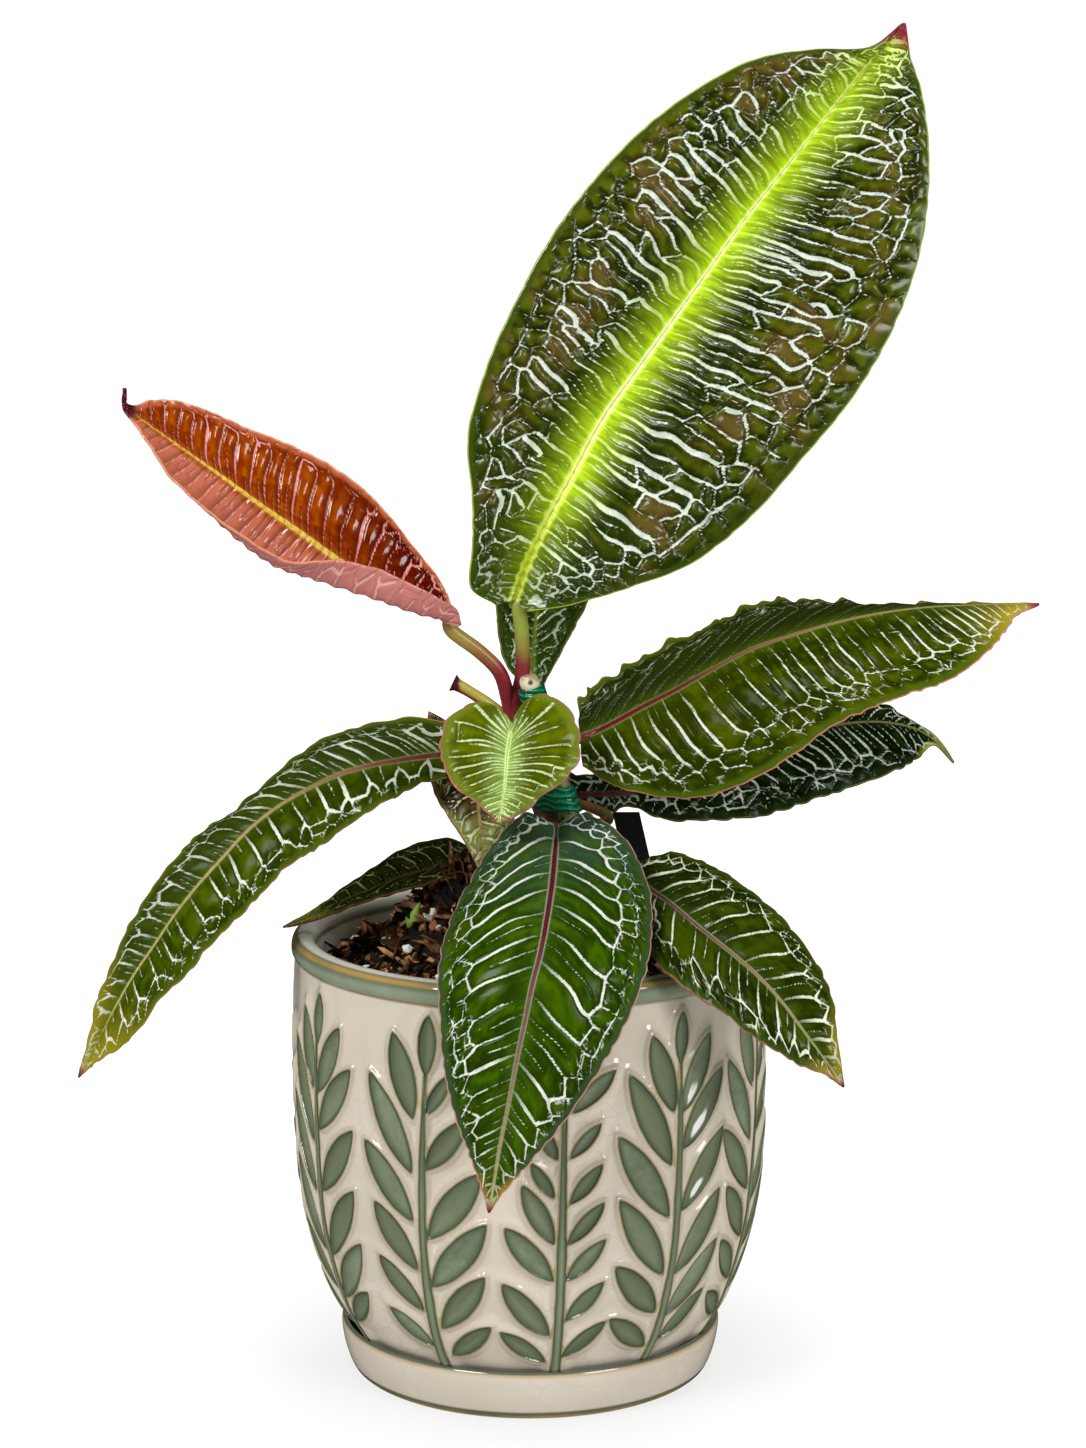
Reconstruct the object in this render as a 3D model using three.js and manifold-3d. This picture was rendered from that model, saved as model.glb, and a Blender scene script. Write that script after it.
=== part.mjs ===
// A potted labisia: a patterned foliage plant in a glazed pot with raised sprigs, on its saucer.
// Millimetres, +Z up. The origin is the middle of the saucer's underside, and the front faces -Y.
import * as THREE from 'three';
import { mergeVertices } from 'three/addons/utils/BufferGeometryUtils.js';
import Module from 'manifold-3d';

const wasm = await Module();
wasm.setup();

// Driving dimensions
const FIT_GAP = 0.3; // between pieces that rest in or on each other
const BLADE_THICKNESS = 0.8;
const LATHE_SIDES = 40;
const ACROSS = { 2: [0, 0.5, 1], 3: [0, 0.12, 0.56, 1], 4: [0, 0.08, 0.38, 0.7, 1] };
const SPRIG_HEIGHT = 1.2; // how far a sprig leaf stands out of the pot wall
const SPRIG_SINK = 0.6; // how deep the outline of a sprig leaf is sunk in the wall
const SPRIG_STEM_WIDTH = 4;
const SOIL_TOP = 128.5;
const CHIP_COUNT = 24;
const CANE_RADIUS = 3.3;
const TIE_THICKNESS = 0.7;

// Pot, saucer and soil as [radius, height]; each profile runs once round its section
const POT_OUTER = [
  [44, 5.3], [48, 5.3], [52.6, 9.5], [57.3, 16.5], [63.4, 27], [68.6, 41.5], [72.3, 57], [74.1, 77],
  [74.9, 104], [73.3, 134],
];
const POT_RIM = [[74.6, 135.3], [74.8, 138.8], [73.2, 141], [69.2, 141.1], [67.6, 138]];
const POT_INNER = [[68.8, 104], [67.4, 66], [61.6, 38], [46, 12.3], [6, 12.3], [6, 7.3], [42.6, 7.3]];
const SAUCER = [
  [0, 0], [55.6, 0], [57, 1], [59.6, 8], [60.4, 14.4], [59.4, 16.2], [58.5, 15.4], [57.9, 11], [53, 5], [0, 5],
];
const SOIL = [
  [0, 12.6], [45.7, 12.6], [61.2, 38], [67, 66], [68.4, 104], [67.6, SOIL_TOP - 1.5],
  [58, SOIL_TOP], [44, SOIL_TOP], [30, SOIL_TOP], [15, SOIL_TOP], [0, SOIL_TOP],
];

// Stem, cane and label
const STEM = [
  [-5.6, 2.5, 217], [-4.7, 3, 210.1], [-3.1, 3, 201.1], [1, 3, 190], [5.4, 4, 177], [8.2, 5, 162.2],
  [9.5, 5, 147.7], [10.5, 5, 110],
];
const STEM_RADII = [3, 4, 4.1, 4.1, 4, 4.2, 4.4, 4.6];
const STUB = [[-5.5, 3, 206], [-12, 2.4, 212], [-18.7, 2, 216.6], [-23.4, 2, 219.1]];
const STUB_RADII = [2.2, 2, 2, 2.3];
const CANE_TOP = [-0.7, -4, 222.8];
const CANE_FOOT = [31.6, -4, 113];
const LABEL_TOP = [30.2, 3, 178];
const LABEL_FOOT = [45.2, 3, 112];
const LABEL_SIZE = [8.5, 1.6];

// Sprig templates: [foot along the wall, foot height, tip along the wall, tip height] for each leaf
const SPRIG_LEFT = [
  [2.2, 111.8, 2.9, 131.7], [-1.8, 98, -9.4, 124.9], [-2.4, 81, -18.2, 111.4], [-2.4, 65.7, -20.6, 90.1],
  [-1.9, 49.9, -17.1, 70.8], [-2, 36, -16.7, 53.4], [-0.8, 23.6, -16.3, 36], [1.7, 99.5, 10.6, 114.2],
  [1.4, 82.7, 15.5, 100.9], [1.5, 60.7, 19.3, 83.9], [1.5, 45.1, 20.6, 67.9], [2.4, 30.8, 19, 50.9],
  [3.4, 21.1, 18.8, 33.8],
];
const SPRIG_MIDDLE = [
  [0.9, 108.7, 2, 124.3], [-0.9, 100.3, -7, 115.2], [-1, 87.4, -8.4, 101.5], [-1.8, 75.6, -9.6, 88.1],
  [-2, 61.3, -11.9, 80.9], [-1.9, 49.2, -17.2, 67.4], [-2.1, 29.6, -17.7, 49.2], [-2.5, 20.2, -17.7, 32.1],
  [2.4, 102.2, 16.5, 115.2], [1.7, 87.9, 12.2, 99.5], [1.8, 73.8, 12.6, 86.6], [1.5, 61.1, 13.3, 74.6],
  [1.2, 49.1, 13.9, 62.9], [1.3, 35.1, 13.9, 49.1], [1, 22.1, 14.6, 34.7],
];
const SPRIG_RIGHT = [
  [0.3, 113.1, 1.7, 130.6], [-2, 98.6, -9.7, 124.4], [-2.4, 82, -17.7, 113.5], [-2.6, 65.6, -21.4, 94.9],
  [-2.4, 46.6, -20.4, 74.7], [-2.4, 34, -20.4, 53.6], [-2.4, 22, -18.8, 35.3], [1, 98.3, 12.9, 121.9],
  [1.2, 86.7, 18.6, 110], [1.6, 67.2, 19.6, 91.3], [1.4, 46.1, 18.6, 71.7], [1.2, 31.7, 19.4, 54.9],
  [1.2, 23.5, 16.9, 38.4],
];
// Each sprig: angle from the front in degrees, and its template
const SPRIGS = [
  [-60.5, SPRIG_RIGHT], [-26, SPRIG_LEFT], [7.5, SPRIG_MIDDLE], [37, SPRIG_RIGHT], [67.5, SPRIG_LEFT],
  [101, SPRIG_MIDDLE], [134, SPRIG_RIGHT], [167, SPRIG_LEFT], [200, SPRIG_MIDDLE], [233, SPRIG_RIGHT],
  [266, SPRIG_LEFT],
];

// Leaves. Each row holds a point on the midrib, the left edge and the right edge, from the blade's
// base to its tip; lift bows each half of the blade between midrib and edge.
const LEAVES = {
  // The big leaf that stands up behind, facing the viewer
  leaf_upright: {
    colour: 0x4f6a1e, leftLift: [0.10], rightLift: [0.10],
    steps: 22, across: 4, wave: 0.5, tooth: 0.35, ribRadius: 1.7, footRadius: 2.3,
    petiole: [
      [-5.3, 3, 210.1], [-3.4, 5, 216.7], [-2.2, 6, 223.5],
      [-2.5, 6, 234], [-3.4, 5, 242], [-4.9, 4, 245.3],
    ],
    rows: [
      [-4.9, 4, 245.3, -10.8, 1, 244.2, -0.5, -2, 242.7],
      [-3.4, 5, 249.6, -18.5, -1, 250.1, 9.4, -3, 244.1],
      [-0.9, 7, 256.5, -17.9, -1, 262.3, 18.7, -2, 246.2],
      [5, 10, 269, -17.8, 0, 277.7, 31.7, 0, 250],
      [12.8, 13, 282.8, -19, 1, 297.7, 50.6, 2, 257.2],
      [22.2, 16, 300, -12.5, 3, 320, 69.2, 4, 271.9],
      [32.5, 19, 314.4, -4.8, 5, 336.7, 84.9, 6, 289.7],
      [43.7, 22, 329.7, 4.4, 8, 353.9, 98.6, 9, 305.9],
      [55, 26, 345, 16.4, 12, 370.5, 110.4, 13, 324.4],
      [67.3, 30, 361.9, 31.8, 17, 387.1, 119.2, 18, 345.1],
      [79.5, 33, 377, 49.4, 21, 400.7, 123.4, 23, 364.3],
      [91.8, 37, 392, 68.8, 27, 410.8, 124.3, 29, 384.4],
      [103.4, 40, 406.5, 88, 32, 414.1, 122.3, 34, 401],
      [111.3, 42, 415.8, 105.6, 38, 414.8, 119.1, 38, 411.7],
      [117.5, 43, 422.5, 117.2, 43, 422.5, 117.8, 43, 422.5],
    ],
  },
  // The young copper-red leaf, folded like a trough
  leaf_young_red: {
    colour: 0xa8553a, leftLift: [-0.2, -0.4, -0.5, -0.5, -0.4, -0.2, -0.1, -0.1, -0.1], rightLift: [-0.12],
    steps: 19, across: 3, wave: 0.3, tooth: 0.3, ribRadius: 1.1, footRadius: 2.3,
    petiole: [
      [-5.6, 2, 207.1], [-6.8, 1, 214.2], [-9.3, -1, 223.1],
      [-15.5, -2, 229.9], [-24.1, -3, 236.6], [-29, -3, 241.6],
    ],
    rows: [
      [-25.3, -3, 240.7, -20.9, -8, 239.6, -24.8, 0, 244.6],
      [-29, -3, 242.9, -23, -10, 244.9, -27, 3, 250.2],
      [-37.6, -4, 246.5, -32, -14, 250.7, -35.1, 5, 260.9],
      [-47.7, -5, 252.2, -45.6, -18, 258, -48, 5, 276.5],
      [-58.4, -6, 259.2, -59, -22, 261.3, -60.9, 4, 286.9],
      [-70.5, -8, 268.4, -73.1, -25, 261.7, -73.9, 2, 293.9],
      [-81.9, -10, 276.7, -86.4, -27, 269.6, -86, 0, 299],
      [-92.9, -12, 285.2, -97.7, -27, 278.1, -97.4, -3, 304.5],
      [-102.7, -14, 292.5, -107.6, -26, 287.1, -107.4, -6, 308.2],
      [-111.4, -16, 299, -114.3, -24, 297.1, -114.9, -10, 308.8],
      [-118.4, -18, 304.4, -119.6, -21, 303.8, -119, -15, 307.7],
      [-122.4, -19, 308.7, -123, -19, 308.1, -121.8, -19, 309],
      [-122.4, -18, 313.2, -122.7, -18, 313.2, -122.1, -18, 313.2],
    ],
  },
  // The leaf behind the big one
  leaf_back: {
    colour: 0x35521d, leftLift: [0.08], rightLift: [0.08],
    steps: 10, across: 2, wave: 0.4, tooth: 0.3, ribRadius: 1.1, footRadius: 1.8,
    petiole: [[-4.1, 5, 202.4], [-1.3, 9, 205.8], [0.9, 12, 209.7], [1.6, 14, 215.2]],
    rows: [
      [1.6, 14, 215.2, -0.6, 14, 215.8, 3.8, 14, 215.5],
      [0.9, 18, 220.3, -7, 17, 221.7, 6.6, 17, 220.4],
      [1.2, 26, 227.6, -9.9, 23, 229.7, 11.7, 23, 229.1],
      [2.5, 38, 240.4, -11.2, 34, 244.2, 19.1, 34, 241.9],
      [4.7, 50, 255, -11.4, 45, 260.5, 25.7, 45, 257.2],
      [8.3, 60, 271.7, -8.2, 55, 278.8, 29.7, 55, 273.9],
      [13.6, 68, 288.8, -0.1, 64, 295.8, 29.2, 64, 289.9],
      [20.2, 74, 304.6, 19.8, 74, 304.6, 20.5, 74, 304.6],
    ],
  },
  // The broad leaf to the right, tilted to the viewer
  leaf_right: {
    colour: 0x4a6b20, leftLift: [0.05], rightLift: [0.10],
    steps: 22, across: 3, wave: 0.8, tooth: 0.9, ribRadius: 1.2, footRadius: 1.9,
    petiole: [[-1.2, 3, 196], [3.2, 7, 196.9], [10.1, 4, 199.7], [15.9, -6, 203.4]],
    rows: [
      [15.9, -6, 203.4, 14.7, -1, 210.1, 16.5, -11, 195.2],
      [23.9, -8, 207.3, 16.6, 1, 216.1, 28.4, -19, 189.9],
      [35, -11, 214.1, 25.6, 2, 222.6, 49, -27, 188.4],
      [45, -14, 219.9, 37.4, 2, 229.2, 65.8, -33, 194.5],
      [56.3, -16, 226.8, 53, 2, 236.8, 80.9, -36, 204.4],
      [68.4, -18, 233.4, 65.3, 0, 243.1, 91.2, -38, 212.7],
      [81.6, -20, 238.3, 77.5, -2, 246.8, 101.9, -39, 218.1],
      [95.4, -22, 242.6, 89, -5, 246.6, 113.8, -40, 222.9],
      [108.9, -24, 245.7, 102.3, -9, 246.3, 126.9, -40, 227.7],
      [121.4, -26, 247.5, 115.9, -14, 246.4, 136.8, -39, 234.9],
      [133.9, -28, 248.4, 129.6, -20, 247.6, 143.2, -37, 241.9],
      [145.8, -29, 248.9, 143.3, -25, 248.6, 147.2, -33, 246.1],
      [154.1, -30, 249, 153.8, -30, 249.3, 154.4, -30, 248.7],
    ],
  },
  // The dark leaf under it
  leaf_right_low: {
    colour: 0x2a4427, leftLift: [0.05], rightLift: [0.08],
    steps: 17, across: 3, wave: 0.7, tooth: 0.8, ribRadius: 1.1, footRadius: 1.9,
    petiole: [[6.9, 6, 167.8], [13.3, 9, 169.1], [19, 10, 171.2], [24.7, 11, 175.2], [32.3, 12, 182.4]],
    rows: [
      [32.3, 12, 182.4, 31.2, 18, 185.4, 31.6, 9, 178.8],
      [41.9, 15, 185.4, 40, 29, 192.4, 42.6, 6, 175.2],
      [55.7, 19, 189.4, 54.8, 37, 199.4, 58.4, 6, 174.9],
      [70.2, 23, 193.9, 70.5, 43, 205.9, 74.2, 8, 176.1],
      [84.8, 27, 198, 86, 47, 210.2, 89.3, 11, 180.3],
      [98.8, 31, 200.9, 102.4, 49, 208.5, 103.2, 16, 183.9],
      [111.9, 34, 201.3, 114.3, 46, 205.4, 117.4, 22, 187.9],
      [123.1, 36, 199, 123.9, 41, 200.7, 125.1, 29, 190.8],
      [131.1, 37, 194.2, 132.1, 38, 195, 130.3, 36, 193.1],
      [137.1, 38, 187.1, 137.4, 38, 187.4, 136.8, 38, 186.8],
    ],
  },
  // The small heart-shaped leaf in the middle
  leaf_heart: {
    colour: 0x8fa24a, leftLift: [0.16], rightLift: [0.16],
    steps: 10, across: 3, wave: 0.4, tooth: 0.5, ribRadius: 0.9, footRadius: 1.4,
    petiole: [
      [0.7, 2, 198.1], [0.1, -4, 201.8], [-1.8, -9, 204.9],
      [-3.9, -18, 209.1], [-5.1, -24, 210.5],
    ],
    rows: [
      [-5.1, -24, 210.5, -3.2, -22, 214.2, -7.5, -22, 213.9],
      [-5.4, -25, 209.4, 1, -21, 218.7, -12.7, -21, 217.1],
      [-5.7, -27, 208.3, 7.2, -23, 219.6, -19.7, -23, 216.8],
      [-6.2, -29, 205.8, 13.2, -27, 214.4, -25.4, -27, 212.3],
      [-6.8, -32, 202.7, 15.3, -32, 207.6, -27.2, -32, 205.5],
      [-7.1, -35, 198.9, 14.4, -37, 201.2, -25.5, -37, 199.3],
      [-7.4, -38, 195.5, 9.2, -41, 195.8, -21.5, -41, 193.7],
      [-8, -40, 191.9, 3.5, -43, 192.2, -17, -43, 191.6],
      [-8.6, -42, 188.6, -1, -44, 188.1, -13.1, -44, 187.8],
      [-9.2, -43, 184.5, -8, -43, 184.2, -10.1, -43, 184.5],
    ],
  },
  // The leaf that hangs over the front rim
  leaf_front: {
    colour: 0x2f5a26, leftLift: [0.10], rightLift: [0.10],
    steps: 22, across: 3, wave: 0.6, tooth: 0.6, ribRadius: 1.2, footRadius: 1.7,
    petiole: [[6.6, 3, 172.7], [6.9, -3, 173.9], [7.2, -9, 175.5], [7.5, -13, 176.7], [8.1, -16, 177.3]],
    rows: [
      [8.1, -16, 177.3, 13.1, -15, 180.3, 3.2, -15, 180.3],
      [8.1, -26, 176, 19.2, -20, 182.2, -3, -20, 181.9],
      [7.7, -42, 173.8, 30, -32, 176, -12.1, -32, 174.1],
      [6.8, -62, 169.4, 36, -50, 165.7, -19.9, -50, 164.2],
      [5.3, -78, 163.1, 36.4, -68, 156.5, -25.2, -67, 154.7],
      [3.5, -89, 155.9, 34.2, -82, 147.9, -26.7, -81, 146.1],
      [0.9, -95, 147, 29.7, -90, 137.6, -26.2, -89, 138.2],
      [-1.1, -98, 137.6, 24.4, -94, 128.2, -25.5, -93, 128.8],
      [-3.4, -100, 126.9, 17.7, -97, 117.9, -24.1, -96, 118.5],
      [-5.7, -100, 114.3, 9.6, -98, 106.2, -21.2, -97, 107.4],
      [-8.4, -99, 100.5, 0.6, -98, 95, -17.1, -97, 95.9],
      [-10.2, -98, 88.7, -7.3, -98, 85.7, -13.7, -97, 85.9],
      [-11.7, -97, 79.3, -11.4, -97, 79.3, -12, -97, 79.3],
    ],
  },
  // The leaf over the front right rim
  leaf_front_right: {
    colour: 0x3a5f22, leftLift: [0.12], rightLift: [0.12],
    steps: 16, across: 3, wave: 0.7, tooth: 0.8, ribRadius: 1.1, footRadius: 1.7,
    petiole: [
      [8.5, 3, 162.4], [10.7, -6, 163.7], [14.1, -12, 164.4],
      [19.3, -14, 164.5], [24.9, -15, 164.1], [30.1, -16, 162.4],
    ],
    rows: [
      [30.1, -16, 162.4, 34.3, -12, 165.3, 30.4, -19, 158],
      [35.5, -25, 160.3, 44.1, -16, 169.4, 33.7, -35, 150.7],
      [43.4, -37, 157.1, 54.9, -24, 167.4, 37.9, -67, 147.1],
      [51.4, -49, 152.8, 64.8, -34, 163.3, 47.1, -70, 139.3],
      [59.5, -58, 148.2, 73.5, -43, 157.9, 57.1, -72, 133.1],
      [67.2, -65, 142.9, 80.8, -51, 151.2, 65.8, -76, 126.9],
      [74.4, -70, 136, 86.4, -59, 144.2, 73.7, -78, 122.3],
      [80.7, -74, 128.2, 90.3, -67, 135.5, 80.5, -79, 118.3],
      [87.1, -77, 119.8, 91.5, -73, 124.8, 87.5, -80, 116.1],
      [93, -78, 111.9, 93.3, -78, 111.9, 92.8, -78, 111.6],
    ],
  },
  // The long leaf arching to the left
  leaf_left: {
    colour: 0x41601f, leftLift: [0.10], rightLift: [0.08],
    steps: 26, across: 3, wave: 0.8, tooth: 0.7, ribRadius: 1.2, footRadius: 1.8,
    petiole: [[-3.1, 3, 197.3], [-6.5, -3, 198.1], [-14.9, -6, 199.7], [-25.8, -5, 198.8]],
    rows: [
      [-25.8, -5, 198.2, -25.7, -8, 190.9, -25.8, -1, 207.9],
      [-32.6, -7, 197.6, -32.8, -12, 190.4, -39, 0, 209],
      [-40.8, -10, 196.9, -40, -17, 187.6, -51.1, -1, 206.6],
      [-49.4, -12, 195.7, -47.3, -21, 184.6, -61.7, -2, 203.7],
      [-58.3, -14, 193.6, -56.1, -24, 179, -71.6, -4, 198.6],
      [-67.8, -16, 189.6, -65.2, -27, 172.7, -82.8, -6, 188.9],
      [-77.3, -18, 184.3, -74, -29, 167.8, -92.3, -9, 180.9],
      [-86.2, -20, 177.5, -82.5, -31, 158.9, -100.8, -12, 176.1],
      [-94.8, -22, 168.5, -90.5, -32, 151, -108.4, -15, 168.9],
      [-102.5, -24, 160.1, -98.2, -33, 143.3, -115.4, -18, 161],
      [-109.3, -25, 151.5, -105.4, -33, 134.2, -121.2, -20, 151.9],
      [-115.8, -26, 141.9, -112.6, -33, 127.9, -126.2, -21, 143.2],
      [-121.8, -27, 133.3, -119.5, -33, 118, -130.2, -23, 133.6],
      [-127.4, -28, 123.7, -126.3, -32, 111.1, -134.2, -25, 123.9],
      [-132.5, -28, 114.1, -132.8, -30, 106.7, -137, -27, 111.6],
      [-140, -28, 100.4, -139.7, -28, 100.4, -140.3, -28, 100.7],
    ],
  },
  // The low leaf over the left rim
  leaf_left_low: {
    colour: 0x39501f, leftLift: [0.06], rightLift: [0.10],
    steps: 11, across: 2, wave: 0.4, tooth: 0.5, ribRadius: 0.8, footRadius: 1.4,
    petiole: [[8.2, 6, 158.1], [4.4, 10, 157.2], [0, 12, 156.8], [-8, 13, 157.2], [-16.6, 14, 157.6]],
    rows: [
      [-16.6, 12, 158.7, -17.8, 9, 157.1, -19.8, 18, 163.9],
      [-23.9, 13, 158.5, -24.7, 6, 156.2, -25.7, 23, 165.5],
      [-31.9, 13, 157.2, -32.8, 3, 154.9, -33.8, 25, 164.1],
      [-40.4, 11, 155.4, -42.5, -1, 153.3, -42.4, 23, 161.2],
      [-49.2, 8, 152.2, -50.9, -3, 151.1, -50.6, 18, 156.8],
      [-57.6, 4, 149.8, -59.7, -4, 148.2, -58.3, 12, 152.6],
      [-66.1, -1, 146.8, -67.2, -5, 145.5, -68, 3, 147.2],
      [-77.1, -7, 143.4, -76.8, -7, 143.1, -77.4, -7, 143.7],
    ],
  },
  // The old leaf, brown at its top
  leaf_old: {
    colour: 0x9a8450, leftLift: [0.10], rightLift: [0.10],
    steps: 8, across: 2, wave: 0.4, tooth: 0.3, ribRadius: 0.8, footRadius: 1.4,
    petiole: [[-4.1, 4, 199.7], [-8.5, 6, 202.8], [-13.8, 7, 203.9], [-18.9, 7, 202]],
    rows: [
      [-18.9, 7, 202, -12.5, 6, 202.2, -32.1, 9, 209.3],
      [-18.2, 4, 194.6, -7.8, 2, 193.4, -32.7, 7, 197.8],
      [-16.8, -3, 186.4, -4.9, -5, 186.8, -30.3, -1, 186],
      [-15.8, -9, 180.6, -4.3, -11, 181, -26.1, -7, 179.5],
      [-15.1, -14, 174, -6.7, -15, 175.5, -21, -13, 172.9],
      [-14.8, -17, 168.3, -11.1, -17, 170.2, -17.9, -17, 168],
      [-15.7, -18, 163.5, -15.4, -18, 163.5, -16, -18, 163.5],
    ],
  },
};

const group = new THREE.Group();

function signedVolume(positions, index) {
  let sum = 0;
  const a = new THREE.Vector3(), b = new THREE.Vector3(), c = new THREE.Vector3();
  for (let i = 0; i < index.length; i += 3) {
    a.fromArray(positions, index[i] * 3);
    b.fromArray(positions, index[i + 1] * 3);
    c.fromArray(positions, index[i + 2] * 3);
    sum += a.dot(b.cross(c)) / 6;
  }
  return sum;
}

function toSolid(geometry) {
  const plain = new THREE.BufferGeometry();
  plain.setAttribute('position', geometry.getAttribute('position').clone());
  if (geometry.index) plain.setIndex(geometry.index.clone());
  const merged = mergeVertices(plain, 1e-4);
  const positions = new Float32Array(merged.getAttribute('position').array);
  const index = [];
  const source = merged.index.array;
  for (let i = 0; i < source.length; i += 3) {
    const [a, b, c] = [source[i], source[i + 1], source[i + 2]];
    if (a !== b && b !== c && c !== a) index.push(a, b, c);
  }
  if (signedVolume(positions, index) < 0) {
    for (let i = 0; i < index.length; i += 3) [index[i + 1], index[i + 2]] = [index[i + 2], index[i + 1]];
  }
  return new wasm.Manifold(new wasm.Mesh({
    numProp: 3, vertProperties: positions, triVerts: new Uint32Array(index),
  }));
}

function addPiece(name, solid, colour, roughness, metalness = 0) {
  const result = solid.getMesh();
  const geometry = new THREE.BufferGeometry();
  geometry.setAttribute('position', new THREE.BufferAttribute(new Float32Array(result.vertProperties), 3));
  geometry.setIndex(new THREE.BufferAttribute(new Uint32Array(result.triVerts), 1));
  geometry.computeVertexNormals();
  const mesh = new THREE.Mesh(geometry, new THREE.MeshStandardMaterial({ color: colour, roughness, metalness }));
  mesh.name = name;
  group.add(mesh);
}

function largestBody(solid) {
  return solid.decompose().reduce((best, body) => (body.volume() > best.volume() ? body : best));
}

function latheSolid(profile, sides) {
  const points = profile.map(([r, z]) => new THREE.Vector2(r, z));
  const geometry = new THREE.LatheGeometry(points, sides);
  geometry.rotateX(Math.PI / 2);
  return toSolid(geometry);
}

// A closed skin over rings of points, with a fan over each end
function skinSolid(rings) {
  const sides = rings[0].length;
  const positions = rings.flat().flatMap((p) => p.toArray());
  const index = [];
  for (let i = 0; i + 1 < rings.length; i += 1) {
    for (let j = 0; j < sides; j += 1) {
      const a = i * sides + j, b = i * sides + ((j + 1) % sides);
      index.push(a, b, b + sides, a, b + sides, a + sides);
    }
  }
  const last = (rings.length - 1) * sides;
  for (let j = 1; j + 1 < sides; j += 1) {
    index.push(0, j + 1, j, last, last + j, last + j + 1);
  }
  const geometry = new THREE.BufferGeometry();
  geometry.setAttribute('position', new THREE.Float32BufferAttribute(positions, 3));
  geometry.setIndex(index);
  return toSolid(geometry);
}

function curveThrough(points) {
  return new THREE.CatmullRomCurve3(points.map((p) => new THREE.Vector3(...p)), false, 'catmullrom', 0.5);
}

function readAlong(values, t) {
  const x = t * (values.length - 1);
  const i = Math.min(Math.floor(x), values.length - 2);
  return values.length === 1 ? values[0] : THREE.MathUtils.lerp(values[i], values[i + 1], x - i);
}

function tubeSolid(points, radii, steps, sides, extra = 0) {
  const curve = curveThrough(points);
  const frames = curve.computeFrenetFrames(steps, false);
  const rings = [];
  for (let i = 0; i <= steps; i += 1) {
    const centre = curve.getPointAt(i / steps);
    const radius = readAlong(radii, i / steps) + extra;
    rings.push(Array.from({ length: sides }, (_, j) => {
      const a = (j / sides) * 2 * Math.PI;
      return centre.clone().addScaledVector(frames.normals[i], Math.cos(a) * radius)
        .addScaledVector(frames.binormals[i], Math.sin(a) * radius);
    }));
  }
  return skinSolid(rings);
}

// Seeded random numbers, so that every run makes the same chips
function seededRandom(seed) {
  let state = seed;
  return () => {
    state = (state * 1664525 + 1013904223) % 4294967296;
    return state / 4294967296;
  };
}

function wallRadius(z) {
  const wall = POT_OUTER;
  for (let i = 1; i < wall.length; i += 1) {
    if (z <= wall[i][1]) {
      const t = THREE.MathUtils.clamp((z - wall[i - 1][1]) / (wall[i][1] - wall[i - 1][1]), 0, 1);
      return THREE.MathUtils.lerp(wall[i - 1][0], wall[i][0], t);
    }
  }
  return wall[wall.length - 1][0];
}

// A point on the pot wall, at a distance along the wall from a sprig's stem
function wallPoint(sprigAngle, along, z, height) {
  const radius = wallRadius(z);
  const angle = THREE.MathUtils.degToRad(sprigAngle) + along / radius;
  return new THREE.Vector3(Math.sin(angle) * (radius + height), -Math.cos(angle) * (radius + height), z);
}

// A sprig leaf rises from its sunk outline to a low ridge down its middle
function sprigLeafSolid(sprigAngle, [footAlong, footZ, tipAlong, tipZ]) {
  const along = tipAlong - footAlong, up = tipZ - footZ;
  const length = Math.hypot(along, up);
  const half = Math.min(0.21 * length, 5.6);
  const side = [up / length, -along / length];
  const at = (t, s, height) => wallPoint(
    sprigAngle, footAlong + along * t + side[0] * half * s, footZ + up * t + side[1] * half * s, height);
  const outline = [[-0.04, 0], [0.3, 0.9], [0.64, 0.9], [1.06, 0], [0.64, -0.9], [0.3, -0.9]];
  const points = [...outline.map(([t, s]) => at(t, s, -SPRIG_SINK)), at(0.26, 0, SPRIG_HEIGHT), at(0.7, 0, SPRIG_HEIGHT)];
  const geometry = new THREE.BufferGeometry();
  geometry.setAttribute('position', new THREE.Float32BufferAttribute(points.flatMap((p) => p.toArray()), 3));
  geometry.setIndex([
    0, 1, 6, 1, 7, 6, 1, 2, 7, 2, 3, 7, 3, 4, 7, 4, 6, 7, 4, 5, 6, 5, 0, 6, 0, 5, 1, 1, 5, 4, 1, 4, 2, 2, 4, 3,
  ]);
  return toSolid(geometry);
}

function sprigStemSolid(sprigAngle, topZ) {
  const half = SPRIG_STEM_WIDTH / 2;
  return skinSolid([9.5, 16.5, 27, 41.5, 57, 77, topZ].map((z) => [
    wallPoint(sprigAngle, -half, z, -SPRIG_SINK), wallPoint(sprigAngle, half, z, -SPRIG_SINK),
    wallPoint(sprigAngle, 0, z, SPRIG_HEIGHT + 0.2),
  ]));
}

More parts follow.
